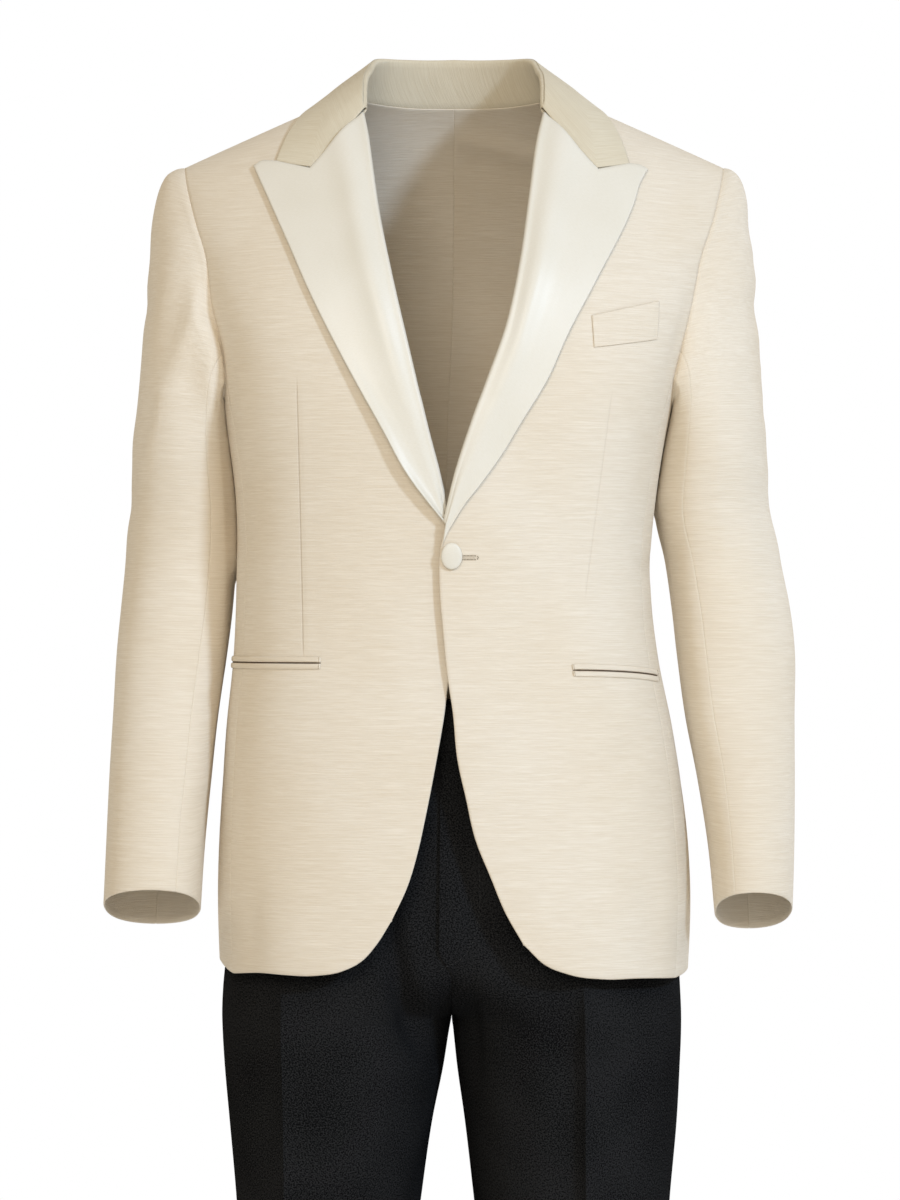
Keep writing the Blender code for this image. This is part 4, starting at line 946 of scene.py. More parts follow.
outer, inner = (np.concatenate((halves[0][k], halves[1][k][-2::-1])) for k in (0, 1))
# The collar's cloth is the suiting darkened with painted shade.
made = wall("collar_cloth", outer, inner, suiting("ivory_suiting_cross_shaded", shade_factor=COLLAR_SHADE),
            lengths(outer) + (4.0, 0))
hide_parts("collar")

# Sleeves
# Two-piece sleeves of the suiting: a wide upper and a narrow under piece, joined by a front
# and a back seam and eased into the armhole. They bend at the elbow; the cuffs are open.
SLEEVE_WALL = 0.0015
SLEEVE_STEPS = 12
CAP_STEPS = 48
SLEEVE_SQUARENESS = 0.10

# The tube below the cap. Columns: z, outer x, inner x, half depth, y centre, tilt in degrees.
SLEEVE = {
    1: np.array((
        (-0.290, 0.2630, 0.1745, 0.0740, 0.033, 0.0),
        (-0.330, 0.2670, 0.1705, 0.0685, 0.041, 0.0),
        (-0.370, 0.2745, 0.1790, 0.0640, 0.043, 0.0),
        (-0.410, 0.2820, 0.1845, 0.0610, 0.037, 1.0),
        (-0.450, 0.2855, 0.1885, 0.0585, 0.025, 4.0),
        (-0.500, 0.2850, 0.1945, 0.0565, 0.007, 8.0),
        (-0.550, 0.2840, 0.2035, 0.0545, -0.013, 12.0),
        (-0.605, 0.2815, 0.2115, 0.0540, -0.033, 16.0),
        (-0.660, 0.2780, 0.2160, 0.053, -0.052, 20.0))),
    -1: np.array((
        (-0.290, 0.2705, 0.1885, 0.0740, 0.033, 0.0),
        (-0.330, 0.2715, 0.1850, 0.0685, 0.041, 0.0),
        (-0.370, 0.2760, 0.1850, 0.0640, 0.043, 0.0),
        (-0.410, 0.2805, 0.1875, 0.0610, 0.037, 1.0),
        (-0.450, 0.2835, 0.1920, 0.0585, 0.025, 4.0),
        (-0.500, 0.2842, 0.1985, 0.0560, 0.007, 8.0),
        (-0.550, 0.2856, 0.2030, 0.0530, -0.013, 12.0),
        (-0.605, 0.2871, 0.2075, 0.0510, -0.033, 16.0),
        (-0.657, 0.2885, 0.2100, 0.050, -0.052, 20.0)))}
UPPER_FIRST = -6 * FINE
UPPER_LAST = 8 * FINE
SLEEVE_RADIUS = 0.055

# How the cap leaves the armhole at its top, in front, under the arm and behind, and how far
# it reaches towards the tube. Columns: outwards, along y, up, reach.
CAP = np.array(((0.090, 0.000, -0.006, 0.250), (0.055, -0.022, -0.020, 0.170),
                (0.030, 0.000, 0.010, 0.060), (0.055, 0.022, -0.020, 0.170)))
CAP_LEAVE = 0.030
CAP_CROWDING = 1.25

# The nook in front under the arm: angle round the armhole, width, share by which it holds the
# cap back, and pull.
NOOK_AT = 2.15
NOOK_WIDTH = 0.40
NOOK_HOLD = 0.9
NOOK_PULL = (-0.018, -0.022, -0.030)

# By side: the height where the fulness that rests on the body ends, and its depth.
FULNESS = {1: (-0.318, 0.006), -1: (-0.372, 0.010)}
REST_GAP = 0.0015

# Where it sets in and goes out, in radians round the sleeve, and the depths of its upper end.
FULNESS_IN = (2.30, 2.80)
FULNESS_OUT = (3.7, 4.3)
FULNESS_DOWN = (0.228, 0.243)

# The sleeve head: its rise, and its place and spread as shares of the cap.
HEAD_RISE = 0.0007
HEAD_AT = 0.035
HEAD_SPREAD = 0.030

# Folds grow over these shares of the cap. Beside the body they are left out: the middle of
# that strip in radians, how far it spreads, and the heights over which it begins.
FOLDS_GROW = (0.02, 0.25)
PLAIN_AT = 3.3
PLAIN_SPREAD = (0.6, 1.0)
PLAIN_ABOVE = (-0.50, -0.46)

# Ridge of each sleeve in front, beyond which its face turns in towards the body.
# Columns: z, distance from the middle, height.
RIDGE = {
    1: np.array(((-0.180, 0.2040, 0.0000), (-0.220, 0.1990, 0.0016), (-0.260, 0.1975, 0.0030),
                 (-0.300, 0.1970, 0.0032), (-0.370, 0.1985, 0.0028), (-0.440, 0.2060, 0.0020),
                 (-0.520, 0.2130, 0.0010), (-0.620, 0.2200, 0.0000))),
    -1: np.array(((-0.165, 0.2085, 0.0000), (-0.189, 0.2022, 0.0036), (-0.218, 0.2022, 0.0052),
                  (-0.269, 0.2008, 0.0056), (-0.302, 0.1985, 0.0056), (-0.369, 0.1960, 0.0052),
                  (-0.420, 0.1971, 0.0048), (-0.487, 0.2000, 0.0040), (-0.525, 0.2017, 0.0032),
                  (-0.640, 0.2080, 0.0000)))}

# Lengths over which the ridge falls off outside and inside, and the radius of its top.
RIDGE_FLANKS = {1: (0.024, 0.014), -1: (0.018, 0.0075)}
RIDGE_ROUND = {1: 0.008, -1: 0.002}

# Where it sets in and goes out, in radians round the sleeve, and in metres from the armhole.
RIDGE_IN = (1.2, 1.6)
RIDGE_OUT = (2.7, 3.0)
RIDGE_SEAM = (0.0005, 0.0045)

# Change of the outer outline. Columns: z, left sleeve, right sleeve.
OUTLINE = np.array(((-0.040, 0.0025, 0.0050), (-0.067, -0.0008, 0.0016),
                    (-0.092, -0.0042, -0.0010), (-0.117, -0.0010, -0.0040),
                    (-0.142, -0.0025, -0.0042), (-0.168, -0.0022, -0.0042),
                    (-0.193, 0.0016, -0.0040), (-0.218, 0.0000, -0.0032),
                    (-0.243, 0.0034, -0.0016), (-0.270, 0.0025, 0.0014),
                    (-0.295, 0.0025, 0.0018), (-0.320, 0.0010, 0.0040), (-0.345, 0.0042, 0.0040),
                    (-0.370, 0.0026, 0.0025), (-0.400, 0.0025, 0.0016), (-0.445, 0.0025, 0.0014),
                    (-0.500, 0.0012, 0.0024), (-0.660, 0.0024, 0.0020)))

# Folds of the sleeves as in BODY_FOLDS, with degrees round the sleeve: 0 outside, 90 front,
# 180 towards the body, 270 back; and the height z in millimetres.
SLEEVE_FOLDS = {
    1: ((30, -110, 8, -124, -18, -118, 11, 0.2, -2.4),
        (48, -150, 14, -160, -22, -150, 12, -0.2, -2.6),
        (50, -188, 16, -202, -30, -190, 13, 0.2, -3),
        (38, -240, 10, -250, -26, -236, 13, 0, -2.6),
        (30, -262, 22, -290, 16, -318, 9, 0.3, -2),
        (24, -330, -4, -352, -34, -340, 15, 0, -2.4),
        (150, -380, 176, -405, 200, -392, 13, 0, -3.2),
        (146, -425, 172, -440, 204, -428, 14, 0.2, -2.6),
        (100, -560, 128, -548, 158, -520, 16, 0, -1.2),
        (296, -300, 262, -335, 232, -322, 16, 0.2, -3),
        (300, -360, 268, -386, 236, -372, 16, 0.2, -3.4),
        (298, -418, 264, -440, 230, -428, 15, 0, -2.8),
        (292, -500, 262, -520, 236, -512, 18, 0, -2)),
    -1: ((99, -60, 99, -135, 97, -215, 30, 0, 8),
         (96, -90, 94, -140, 90, -192, 11, -0.4, 1.8),
         (76, -100, 74, -150, 70, -200, 14, 0.2, -2.2),
         (93, -180, 80, -220, 58, -264, 17, 0, 3.6),
         (62, -225, 46, -262, 26, -296, 13, 0.2, -2.2),
         (40, -300, 14, -330, -16, -322, 15, 0, -2.2),
         (36, -150, 8, -162, -24, -152, 13, 0, -2),
         (148, -390, 174, -412, 204, -400, 13, 0, -3),
         (150, -436, 178, -452, 206, -440, 14, 0.2, -2.8),
         (112, -600, 138, -582, 164, -560, 16, 0, -1.2),
         (298, -310, 264, -340, 232, -330, 16, 0.2, -3.2),
         (302, -370, 266, -396, 234, -380, 16, 0.2, -3.4),
         (296, -430, 262, -448, 232, -438, 15, 0, -2.6),
         (290, -510, 260, -530, 236, -520, 18, 0, -2.2))}


def beside(side, y, z):
    """Distance from the middle to the body's side at depth y and height z."""
    row = body_row(np.minimum(z, UNDERARM_Z))
    fore = row[..., 5] - y
    ang = np.pi / 2 - unbow(fore / np.where(fore > 0, row[..., 2], row[..., 3]), row[..., 4])
    return side * row[..., 0] + row[..., 1] * bow(ang, row[..., 4])[0]


for side in (1, -1):
    ring_uv = armhole[side]
    ring = body(ring_uv[:, 0], ring_uv[:, 1])[:-1]
    ring_n = normal_of(body_point, ring_uv[:, 0], ring_uv[:, 1])[:-1]
    count = len(ring)
    gap = np.linalg.norm(np.diff(np.concatenate((ring, ring[:1])), axis=0), axis=1)
    run = np.concatenate(((0,), np.cumsum(gap)))
    half = np.interp(ARM_STEPS + UNDER_STEPS / 2, np.arange(count + 1), run)
    omega = np.where(run[:-1] < half, np.pi * run[:-1] / half,
                     2 * np.pi - np.pi * (run[-1] - run[:-1]) / (run[-1] - half))
    ahead = unit(np.roll(ring, -1, axis=0) - np.roll(ring, 1, axis=0))
    leave = unit(np.cross(ring_n, ahead)) * side
    circle = np.stack((np.cos(omega), np.sin(omega)), axis=-1)
    cap = np.maximum(np.concatenate((circle, -circle), axis=1), 0) ** 2 @ CAP
    nook = np.exp(-((omega[:, None] - NOOK_AT) / NOOK_WIDTH) ** 2)
    begin = (cap[:, :3] + nook * NOOK_PULL) * (side, 1, 1)
    begin = begin + CAP_LEAVE * leave * (1 - NOOK_HOLD * nook)
    table = SLEEVE[side]
    row = np.linspace(0, len(table) - 1, SLEEVE_STEPS * (len(table) - 1) + 1)
    z, out_x, in_x, deep, yc, tilt = along(row, np.arange(len(table)), table).T[..., None]
    py, px = bow(omega, SLEEVE_SQUARENESS)
    beta = np.radians(tilt)
    tube = np.stack((side * ((out_x + in_x) / 2 + (out_x - in_x) / 2 * px),
                     yc - deep * py * np.cos(beta), z + deep * py * np.sin(beta)), axis=-1)
    arrive = (tube[SLEEVE_STEPS] - tube[0]) / (table[0, 0] - table[1, 0]) * cap[:, 3:]
    t = (np.linspace(0, 1, CAP_STEPS + 1)[:-1] ** CAP_CROWDING)[:, None, None]
    cap = ((2 * t ** 3 - 3 * t * t + 1) * ring + (t ** 3 - 2 * t * t + t) * begin
           + (3 * t * t - 2 * t ** 3) * tube[0] + (t ** 3 - t * t) * arrive)
    tube = np.concatenate((cap, tube))
    round_at = np.broadcast_to(omega[None], tube.shape[:2])
    from_cap = np.concatenate((t[:, 0], np.ones((len(tube) - CAP_STEPS, 1))))
    z = tube[..., 2]
    end_z, full = FULNESS[side]
    want = full * soft(round_at, *FULNESS_IN) * (1 - soft(round_at, *FULNESS_OUT)) * (
        soft(-z, *FULNESS_DOWN) * soft(z, end_z - 0.020, end_z + 0.008)) + 1e-9
    room = np.maximum(side * tube[..., 0] - beside(side, tube[..., 1], z) - REST_GAP, 1e-9)
    tube[..., 0] -= side * want * room / (want ** 4 + room ** 4) ** 0.25
    tube[..., 0] += side * along(z, OUTLINE[:, 0], OUTLINE[:, 1 if side > 0 else 2]) * (
        np.maximum(np.cos(round_at), 0) ** 2 * soft(from_cap, 0.0, 0.10))
    seam_run = lengths(tube)[..., 1]

    def outward(grid):
        """Unit normals of the closed tube."""
        wrap = np.concatenate((grid[:, -1:], grid, grid[:, :1]), axis=1)
        return unit(np.cross(wrap[:, 2:] - wrap[:, :-2], np.gradient(grid, axis=0))) * side
    tube_n = outward(tube)
    tube_n[0] = ring_n
    table = in_metres(SLEEVE_FOLDS[side], np.radians(SLEEVE_RADIUS))
    lift = sum(folds((round_at - turn) * SLEEVE_RADIUS, tube[..., 2], table)
               for turn in (0, 2 * np.pi))
    head = np.exp(-((from_cap - HEAD_AT) / HEAD_SPREAD) ** 2) * np.cos(omega / 2)[None] ** 2
    plain = (1 - soft(np.abs(round_at - PLAIN_AT), *PLAIN_SPREAD)) * soft(z, *PLAIN_ABOVE)
    lift = (lift * (1 - plain)) * soft(from_cap, *FOLDS_GROW) + head * HEAD_RISE
    ridge = along(z, RIDGE[side][:, 0], RIDGE[side][:, 1:])
    off = side * tube[..., 0] - ridge[..., 0]
    flank = np.where(off > 0, *RIDGE_FLANKS[side])
    blunt = RIDGE_ROUND[side]
    crest = ridge[..., 1] * np.exp((blunt - np.hypot(off, blunt)) / flank)
    lift = lift + (crest * soft(seam_run, *RIDGE_SEAM)
                   * soft(round_at, *RIDGE_IN) * (1 - soft(round_at, *RIDGE_OUT)))
    tube = tube + tube_n * lift[..., None]
    tube_n = outward(tube)
    tube_n[0] = ring_n
    inner = tube - tube_n * SLEEVE_WALL
    up = lengths(tube)[..., 1]
    up = up[CAP_STEPS:CAP_STEPS + 1] - up
    upper = np.arange(UPPER_FIRST, UPPER_LAST + 1) % count
    under = np.arange(UPPER_LAST, count + UPPER_FIRST + 1) % count
    for label, pick, size in (("upper", upper, (0.325, 0.67, 0.115)),
                              ("under", under, (0.235, 0.56, 0.068))):
        grid = tube[:, pick]
        node = "sleeve_%s_%s" % (label, NAME[side])
        flat = np.stack((lengths(grid)[..., 0], up[:, pick]), axis=-1)
        made = wall(node + "_cloth", grid, inner[:, pick], ivory, flat + (5.0 + side, 0),
                    (-1, 1, 0, 0))
        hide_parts(node)

# Breast pocket welt
# A slanting stand-up welt of the suiting on the wearer's left chest: its lower edge and its
# ends are sewn down, its upper edge is a fold with the pocket's mouth behind it.
CLEAR = 0.00045
WELT_THICK = 0.0009
WELT_STAND = 0.0006
WELT_SEWN = 0.0004

# Its sewn lines: the ends as shares of the width and their spread, the foot's height as a
# share and its spread.
WELT_ENDS = (0.035, 0.965)
WELT_END_SPREAD = 0.012
WELT_FOOT = 0.06
WELT_FOOT_SPREAD = 0.05

# Corners: top inner, top outer, foot inner, foot outer.
WELT = ((115.9, -164.4), (171.4, -152.3), (117.6, -190.5), (169.7, -183.8))


def on_body(side, ang, v, off):
    """Points at height off over the draped front of this side."""
    return body(ang, v, lap(side, ang, v) + drape(ang, v) + off)


corners = chart(WELT)
s = np.linspace(0, 1, 49)[None, :]
t = np.linspace(0, 1, 25)[:, None]
grid = ((1 - t)[..., None] * ((1 - s)[..., None] * corners[2] + s[..., None] * corners[3])
        + t[..., None] * ((1 - s)[..., None] * corners[0] + s[..., None] * corners[1]))
stand = WELT_STAND * t ** 2 * (1 - (2 * s - 1) ** 8)
sewn = WELT_SEWN * (sum(np.exp(-((s - end) / WELT_END_SPREAD) ** 2) for end in WELT_ENDS)
                    + np.exp(-((t - WELT_FOOT) / WELT_FOOT_SPREAD) ** 2))
ang, v = np.moveaxis(grid, -1, 0)
outer = on_body(1, ang, v, CLEAR + WELT_THICK + stand - sewn)
inner = on_body(1, ang, v, CLEAR + stand - WELT_SEWN * t)
made = wall("breast_welt_cloth", outer, inner, ivory, measure(ang, v) + (7, 0))
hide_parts("breast_welt")

# Hip pockets: two jets each, the mouth between them and the tacks at their ends
# Narrow bound edges of the suiting along a straight slit, sewn down all round. The mouth
# between them is a thin dark strip, painted shade of the pocket's opening. Short tacks of
# tan thread close both ends.
JET_HEIGHT = 0.0052
JET_ROUND = 0.00075
JET_EDGE = 0.0003
JET_LIP = 0.0003
JET_SUNK = 0.0001
MOUTH_HALF = 0.0016
TACK_HALF = 0.0042
TACK_PROUD = 0.0012
TACK_STITCH = (0.0005, 0.00022, 0.00018)

# Distance of a jet from the slit's line at its ends and what it gains between them, and the
# power that bends the line.
SLIT_OFF = 0.0005
SLIT_OPENS = 0.0003
SLIT_BEND = 1.6

# By side: degrees of the inner and the outer end, and their heights.
HIP = {1: (31.8, 74.0, -0.4604, -0.4662), -1: (31.5, 96.0, -0.4545, -0.4550)}


def plain_paint(name, colour, rough):
    """One colour with a faint soft mottle."""
    made, w, shader = painted(name)
    at = w.node("ShaderNodeTexCoord", (), (), 3)
    mottle = w.node("ShaderNodeTexNoise", (), {"Vector": at, "Scale": 900.0, "Detail": 2.0})
    base = mottle.ramp(0.3, 0.7).mix((*(0.8 * c for c in colour), 1), (*colour, 1))
    finish(w, shader, Base_Color=base, Roughness=rough)
    return made


BEAD_SIDES = 6
BEAD_ALONG = np.array((-1.0, -0.6, 0.0, 0.6, 1.0))
BEAD_SWELL = np.array((0.30, 0.85, 1.0, 0.85, 0.30))
BEAD_ENDS = np.array(((0, 3, 2, 1), (0, 5, 4, 3), (24, 25, 26, 27), (24, 27, 28, 29)))


def beads(name, place, ahead, over_n, half, paint):
    """Stitches as one mesh: each a short six-sided bead of half length, width and height half,
    swelling from its two ends."""
    place, ahead, over_n = (np.asarray(k, float)[:, None, None] for k in (place, ahead, over_n))
    athwart = unit(np.cross(ahead, over_n))
    t = BEAD_ALONG[None, :, None, None]
    wide = BEAD_SWELL[None, :, None, None]
    a = np.arange(BEAD_SIDES)[None, None, :, None] * 2 * np.pi / BEAD_SIDES
    verts = (place + ahead * half[0] * t + athwart * half[1] * wide * np.cos(a)
             + over_n * half[2] * wide * np.sin(a))
    bead = np.arange(len(verts))[:, None, None] * BEAD_SIDES * len(BEAD_ALONG)
    ring = bead + np.arange(len(BEAD_ALONG) - 1)[None, :, None] * BEAD_SIDES
    here = np.arange(BEAD_SIDES)[None, None, :]
    after = (here + 1) % BEAD_SIDES
    sides = np.stack((ring + here, ring + after, ring + after + BEAD_SIDES,
                      ring + here + BEAD_SIDES), axis=-1)
    faces = np.concatenate((sides.reshape(-1, 4), (bead + BEAD_ENDS[None]).reshape(-1, 4)))
    return piece(name, verts.reshape(-1, 3), faces, paint)


# Painted shade: near-black brown for the shadow inside the pockets' mouths.
mouth_shade = plain_paint("pocket_mouth_shade", (0.105, 0.066, 0.038), 0.95)
thread_tan = plain_paint("tan_thread", (0.40, 0.31, 0.20), 0.70)
thread_brown = plain_paint("brown_thread", (0.24, 0.18, 0.11), 0.70)
for side in (1, -1):
    deg0, deg1, v0, v1 = HIP[side]
    s = np.linspace(0, 1, 97)[None, :]
    ang = np.radians(deg0 + (deg1 - deg0) * s) * side
    slit = v0 + (v1 - v0) * s ** SLIT_BEND
    held = soft(s, 0, 0.03) * (1 - soft(s, 0.97, 1))
    for label, sign in (("upper", 1), ("lower", -1)):
        t = np.linspace(0, 1, 11)[:, None]
        v = slit + sign * (SLIT_OFF + SLIT_OPENS * held + (JET_HEIGHT - 2 * SLIT_OFF) * t)
        at = np.broadcast_to(ang, v.shape)
        swell = JET_ROUND * np.sqrt(1 - (2 * t - 1) ** 2 * 0.98) + JET_LIP * (1 - t) * held
        outer = on_body(side, at, v, CLEAR + JET_EDGE + swell)
        inner = on_body(side, at, v, CLEAR - JET_SUNK)
        node = "hip_jet_%s_%s" % (label, NAME[side])
        made = wall(node + "_cloth", outer, inner, ivory, measure(at, v) + (8, 0), near=0.0002)
        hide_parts(node)
    # A thin strip of painted shade between the jets, where the pocket opens.
    v = slit + np.linspace(-MOUTH_HALF, MOUTH_HALF, 3)[:, None]
    at = np.broadcast_to(ang, v.shape)
    mouth = wall("hip_mouth_shade_" + NAME[side], on_body(side, at, v, 0.0004),
                 on_body(side, at, v, 0.0002), mouth_shade, measure(at, v), near=0.0001)
    share = np.repeat((0.006, 0.994), 8)
    v = (v0 + (v1 - v0) * share ** SLIT_BEND
         + np.tile(np.linspace(-TACK_HALF, TACK_HALF, 8), 2))
    at = np.radians(deg0 + (deg1 - deg0) * share) * side
    tacks = beads("hip_tacks_" + NAME[side], on_body(side, at, v, CLEAR + TACK_PROUD),
                  np.tile((0, 0, 1.0), (len(v), 1)), normal_of(body_point, at, v),
                  TACK_STITCH, thread_tan)
    size = (0.163, 0.010, 0.00085) if side < 0 else (0.108, 0.010, 0.0006)

# Front button and its buttonhole
# A domed button covered with the lapels' satin, fastened through a worked buttonhole in the
# left front: a short slit edged with brown stitches, three of them round its outer end.
BUTTON_RADIUS = (0.0086, 0.0108)
BUTTON_HEIGHT = 0.0046
BUTTON_AT = (-2.3, -365.7)

# The slit: degrees at its ends, height, half width; how far from it the stitches stand, the
# body's radius there, and the stitches' half length, width and height.
HOLE = (4.5, 7.6, -0.3683)
HOLE_HALF = 0.00016
HOLE_EDGE = 0.0016
HOLE_RADIUS = 0.14
HOLE_STITCH = (0.00050, 0.00036, 0.00024)
at = chart((BUTTON_AT,))[0]
n = normal_of(body_point, at[0], at[1])
foot = on_body(1, at[:1], at[1:], CLEAR)[0]
e1 = unit(np.cross(n, (0, 0, 1.0)))
e2 = np.cross(n, e1)
u = np.linspace(-1, 1, 33)
p, q = np.meshgrid(u, u)
x, z = p * np.sqrt(1 - q * q / 2), q * np.sqrt(1 - p * p / 2)
rho = np.maximum(np.hypot(x, z), 1e-9)
a = np.minimum(rho, 1) * np.pi / 2
round_x, round_z = x / rho * np.sin(a), z / rho * np.sin(a)


def disc(height):
    """Points of a round face: across from the square grid, up by height of the button."""
    flat = round_x[..., None] * BUTTON_RADIUS[0] * e1 + round_z[..., None] * BUTTON_RADIUS[1] * e2
    return foot + flat + (height * BUTTON_HEIGHT)[..., None] * n


outer = disc(0.47 + 0.53 * np.cos(a) ** 0.75)
inner = disc(0.36 - 0.36 * np.cos(a) ** 0.60)
made = wall("front_button_cover", outer, inner, satin, lengths(outer), (0.2,) * 4, 0.0002)
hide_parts("front_button")

deg0, deg1, level = HOLE
s = np.linspace(0, 1, 21)[None, :]
half = HOLE_HALF * np.sqrt(np.sin(np.pi * s * 0.96 + 0.06))
v = level + np.array((-1.0, 0.0, 1.0))[:, None] * half
at = np.broadcast_to(np.radians(deg0 + (deg1 - deg0) * s), v.shape)
slit = wall("buttonhole_slit", on_body(1, at, v, 0.0005), on_body(1, at, v, 0.0002), ivory,
            measure(at, v), near=0.0001)
reach = np.linspace(0.05, 1, 10)
side_at = np.concatenate((reach, reach[::-1], np.ones(3)))
fan = np.radians(np.concatenate((np.full(10, 90.0), np.full(10, -90.0), (-40.0, 0.0, 40.0))))
ang = np.radians(deg0 + (deg1 - deg0) * side_at) + HOLE_EDGE * np.cos(fan) / HOLE_RADIUS
v = level + HOLE_EDGE * np.sin(fan)
n = normal_of(body_point, ang, v)
across = unit(np.cross((0, 0, 1.0), n))
lean = across * np.cos(fan)[:, None] + np.array((0, 0, 1.0)) * np.sin(fan)[:, None]
worked = beads("buttonhole_stitches", on_body(1, ang, v, 0.0004), lean, n,
               HOLE_STITCH, thread_brown)

# Trousers: two front and two back pieces
# Plain-front trousers of black wool, creased down each leg, sewn at side, inside and centre
# seams. The left front laps over at the fly, whose edge is stitched in a J; hems are open.
TROUSER_WALL = 0.0012
WAIST_TOP_Z = -0.4893
WAIST_SEAM_Z = -0.5270
CROTCH_Z = -0.752
FLY_REACH = 0.0112
FLY_END_Z = -0.704
FLY_LIFT = 0.0026

# Where the lap's lift begins and where it is full: distances past the middle, both before it.
FLY_RISE = (-0.012, -0.001)

# Columns: z, outer x left, inner x left, crease x left, and the same on the right.
LEGS = np.array((
    (-0.489, 0.1520, 0.0, 0.085, 0.1520, 0.0, 0.085),
    (-0.560, 0.1700, 0.0, 0.095, 0.1700, 0.0, 0.105),
    (-0.640, 0.1850, 0.0, 0.103, 0.1850, 0.0, 0.130),
    (-0.700, 0.1900, 0.0, 0.107, 0.1900, 0.0, 0.139),
    (-0.730, 0.1920, 0.0, 0.108, 0.1925, 0.0, 0.140),
    (-0.752, 0.1930, 0.0, 0.109, 0.1930, 0.0, 0.140),
    (-0.764, 0.1930, 0.0014, 0.109, 0.1925, 0.0020, 0.140),
    (-0.794, 0.1920, 0.0048, 0.110, 0.1905, 0.0066, 0.139),
    (-0.836, 0.1900, 0.0110, 0.110, 0.1865, 0.0150, 0.138),
    (-0.906, 0.1840, 0.0195, 0.111, 0.1800, 0.0250, 0.137),
    (-1.130, 0.1740, 0.0440, 0.112, 0.1738, 0.0480, 0.128),
    (-1.350, 0.1735, 0.0570, 0.116, 0.1750, 0.0600, 0.126),
    (-1.562, 0.1725, 0.0675, 0.121, 0.1755, 0.0705, 0.125)))
LEG_SHIFT = np.array(((-0.489, 0.0), (-0.640, -0.001), (-0.752, -0.002), (-1.562, -0.002)))
# Columns: z, y centre, front depth, back depth, crease height.
LEG_DEPTH = np.array((
    (-0.489, 0.004, 0.112, 0.116, 0.0005),
    (-0.560, 0.004, 0.114, 0.128, 0.0015),
    (-0.640, 0.006, 0.118, 0.140, 0.0030),
    (-0.700, 0.008, 0.119, 0.145, 0.0060),
    (-0.752, 0.008, 0.113, 0.137, 0.0145),
    (-0.800, 0.008, 0.105, 0.120, 0.0150),
    (-0.906, 0.006, 0.092, 0.100, 0.0145),
    (-1.130, 0.000, 0.072, 0.076, 0.0126),
    (-1.350, 0.004, 0.063, 0.065, 0.0115),
    (-1.562, 0.010, 0.058, 0.060, 0.0105)))
LEG_ROWS = (-0.527, -0.560, -0.600, -0.640, -0.680, -0.710, -0.733, -0.746, -0.752, -0.775,
            -0.800, -0.840, -0.885, -0.950, -1.030, -1.130, -1.270, -1.420, -1.562)
BACK_CREASE_DEG = 89.76
CREASE_CROWDING = 1.5

# Folds of the legs by side and face, as in BODY_FOLDS: x and z of three points, millimetres.
LEG_FOLDS = {
    (1, -1): ((30, -700, 60, -716, 100, -742, 16, 0.2, -2.6),
              (8, -690, 14, -750, 20, -830, 10, 0.3, -6.2),
              (60, -720, 74, -790, 80, -880, 18, 0, 2),
              (140, -700, 150, -790, 150, -900, 18, 0, -2),
              (50, -1080, 95, -1110, 150, -1090, 22, 0.2, -3.4),
              (60, -1180, 100, -1200, 150, -1185, 20, 0, -2.6),
              (80, -1440, 110, -1470, 155, -1480, 20, 0.2, -3)),
    (-1, -1): ((-23, -560, -22, -640, -18, -715, 11, 0, -7),
               (-56, -630, -50, -735, -13, -797, 10.5, 0, -13),
               (-70, -720, -62, -790, -60, -880, 20, 0, 2),
               (-165, -700, -160, -790, -160, -900, 16, 0, -1.8),
               (-52, -1090, -96, -1120, -150, -1100, 22, 0.2, -3.4),
               (-62, -1190, -102, -1212, -152, -1190, 20, 0, -2.4),
               (-84, -1450, -112, -1476, -158, -1482, 20, 0.2, -2.8)),
    (1, 1): ((20, -700, 80, -770, 150, -790, 20, 0.2, -4.4),
             (30, -780, 85, -830, 150, -850, 22, 0, -3.6),
             (60, -1070, 100, -1100, 150, -1075, 18, 0.2, -4.4),
             (60, -1130, 100, -1155, 150, -1135, 18, 0, -4),
             (80, -1450, 115, -1480, 160, -1460, 22, 0, -3)),
    (-1, 1): ((-20, -705, -82, -774, -152, -796, 20, 0.2, -4.2),
              (-30, -790, -86, -838, -150, -856, 22, 0, -3.8),
              (-60, -1080, -100, -1106, -150, -1082, 18, 0.2, -4.2),
              (-62, -1140, -102, -1166, -150, -1142, 18, 0, -3.8),
              (-82, -1444, -116, -1476, -160, -1466, 22, 0, -3.2))}


def leg_row(side, z):
    """Middle, half width, end angle, crease angle of a leg at height z. Above the crotch the
    middle moves in as exp(-(share up / 0.17) to the power 1.5) and the arc ends at x = 0."""
    first = 1 if side > 0 else 4
    out_x, in_x, crease = along(z, LEGS[:, 0], LEGS[:, first:first + 3]).T
    t = np.clip((z - CROTCH_Z) / (LEGS[0, 0] - CROTCH_Z), 0, 1)
    r = np.exp(-(t / 0.17) ** 1.5)
    above = t > 0
    half = np.where(above, out_x / (1 + r), (out_x - in_x) / 2)
    mid = np.where(above, r * half, (out_x + in_x) / 2)
    end = np.arccos(np.clip(-mid / half, -1, 1))
    end = np.where(above, end, np.pi)
    fold = np.arccos(np.clip((crease - mid) / half, -1, 1))
    return mid, half, end, fold


# Width of the creases' two flanks, in radians towards the outside and the inside.
CREASE_FLANKS = {1: (0.26, 0.070), -1: (0.20, 0.19)}


def creased(face, fold, end):
    """Angle of the crease: the drawn one in front, a fixed share of the arc at the back."""
    return fold if face < 0 else np.radians(BACK_CREASE_DEG) * end / np.pi


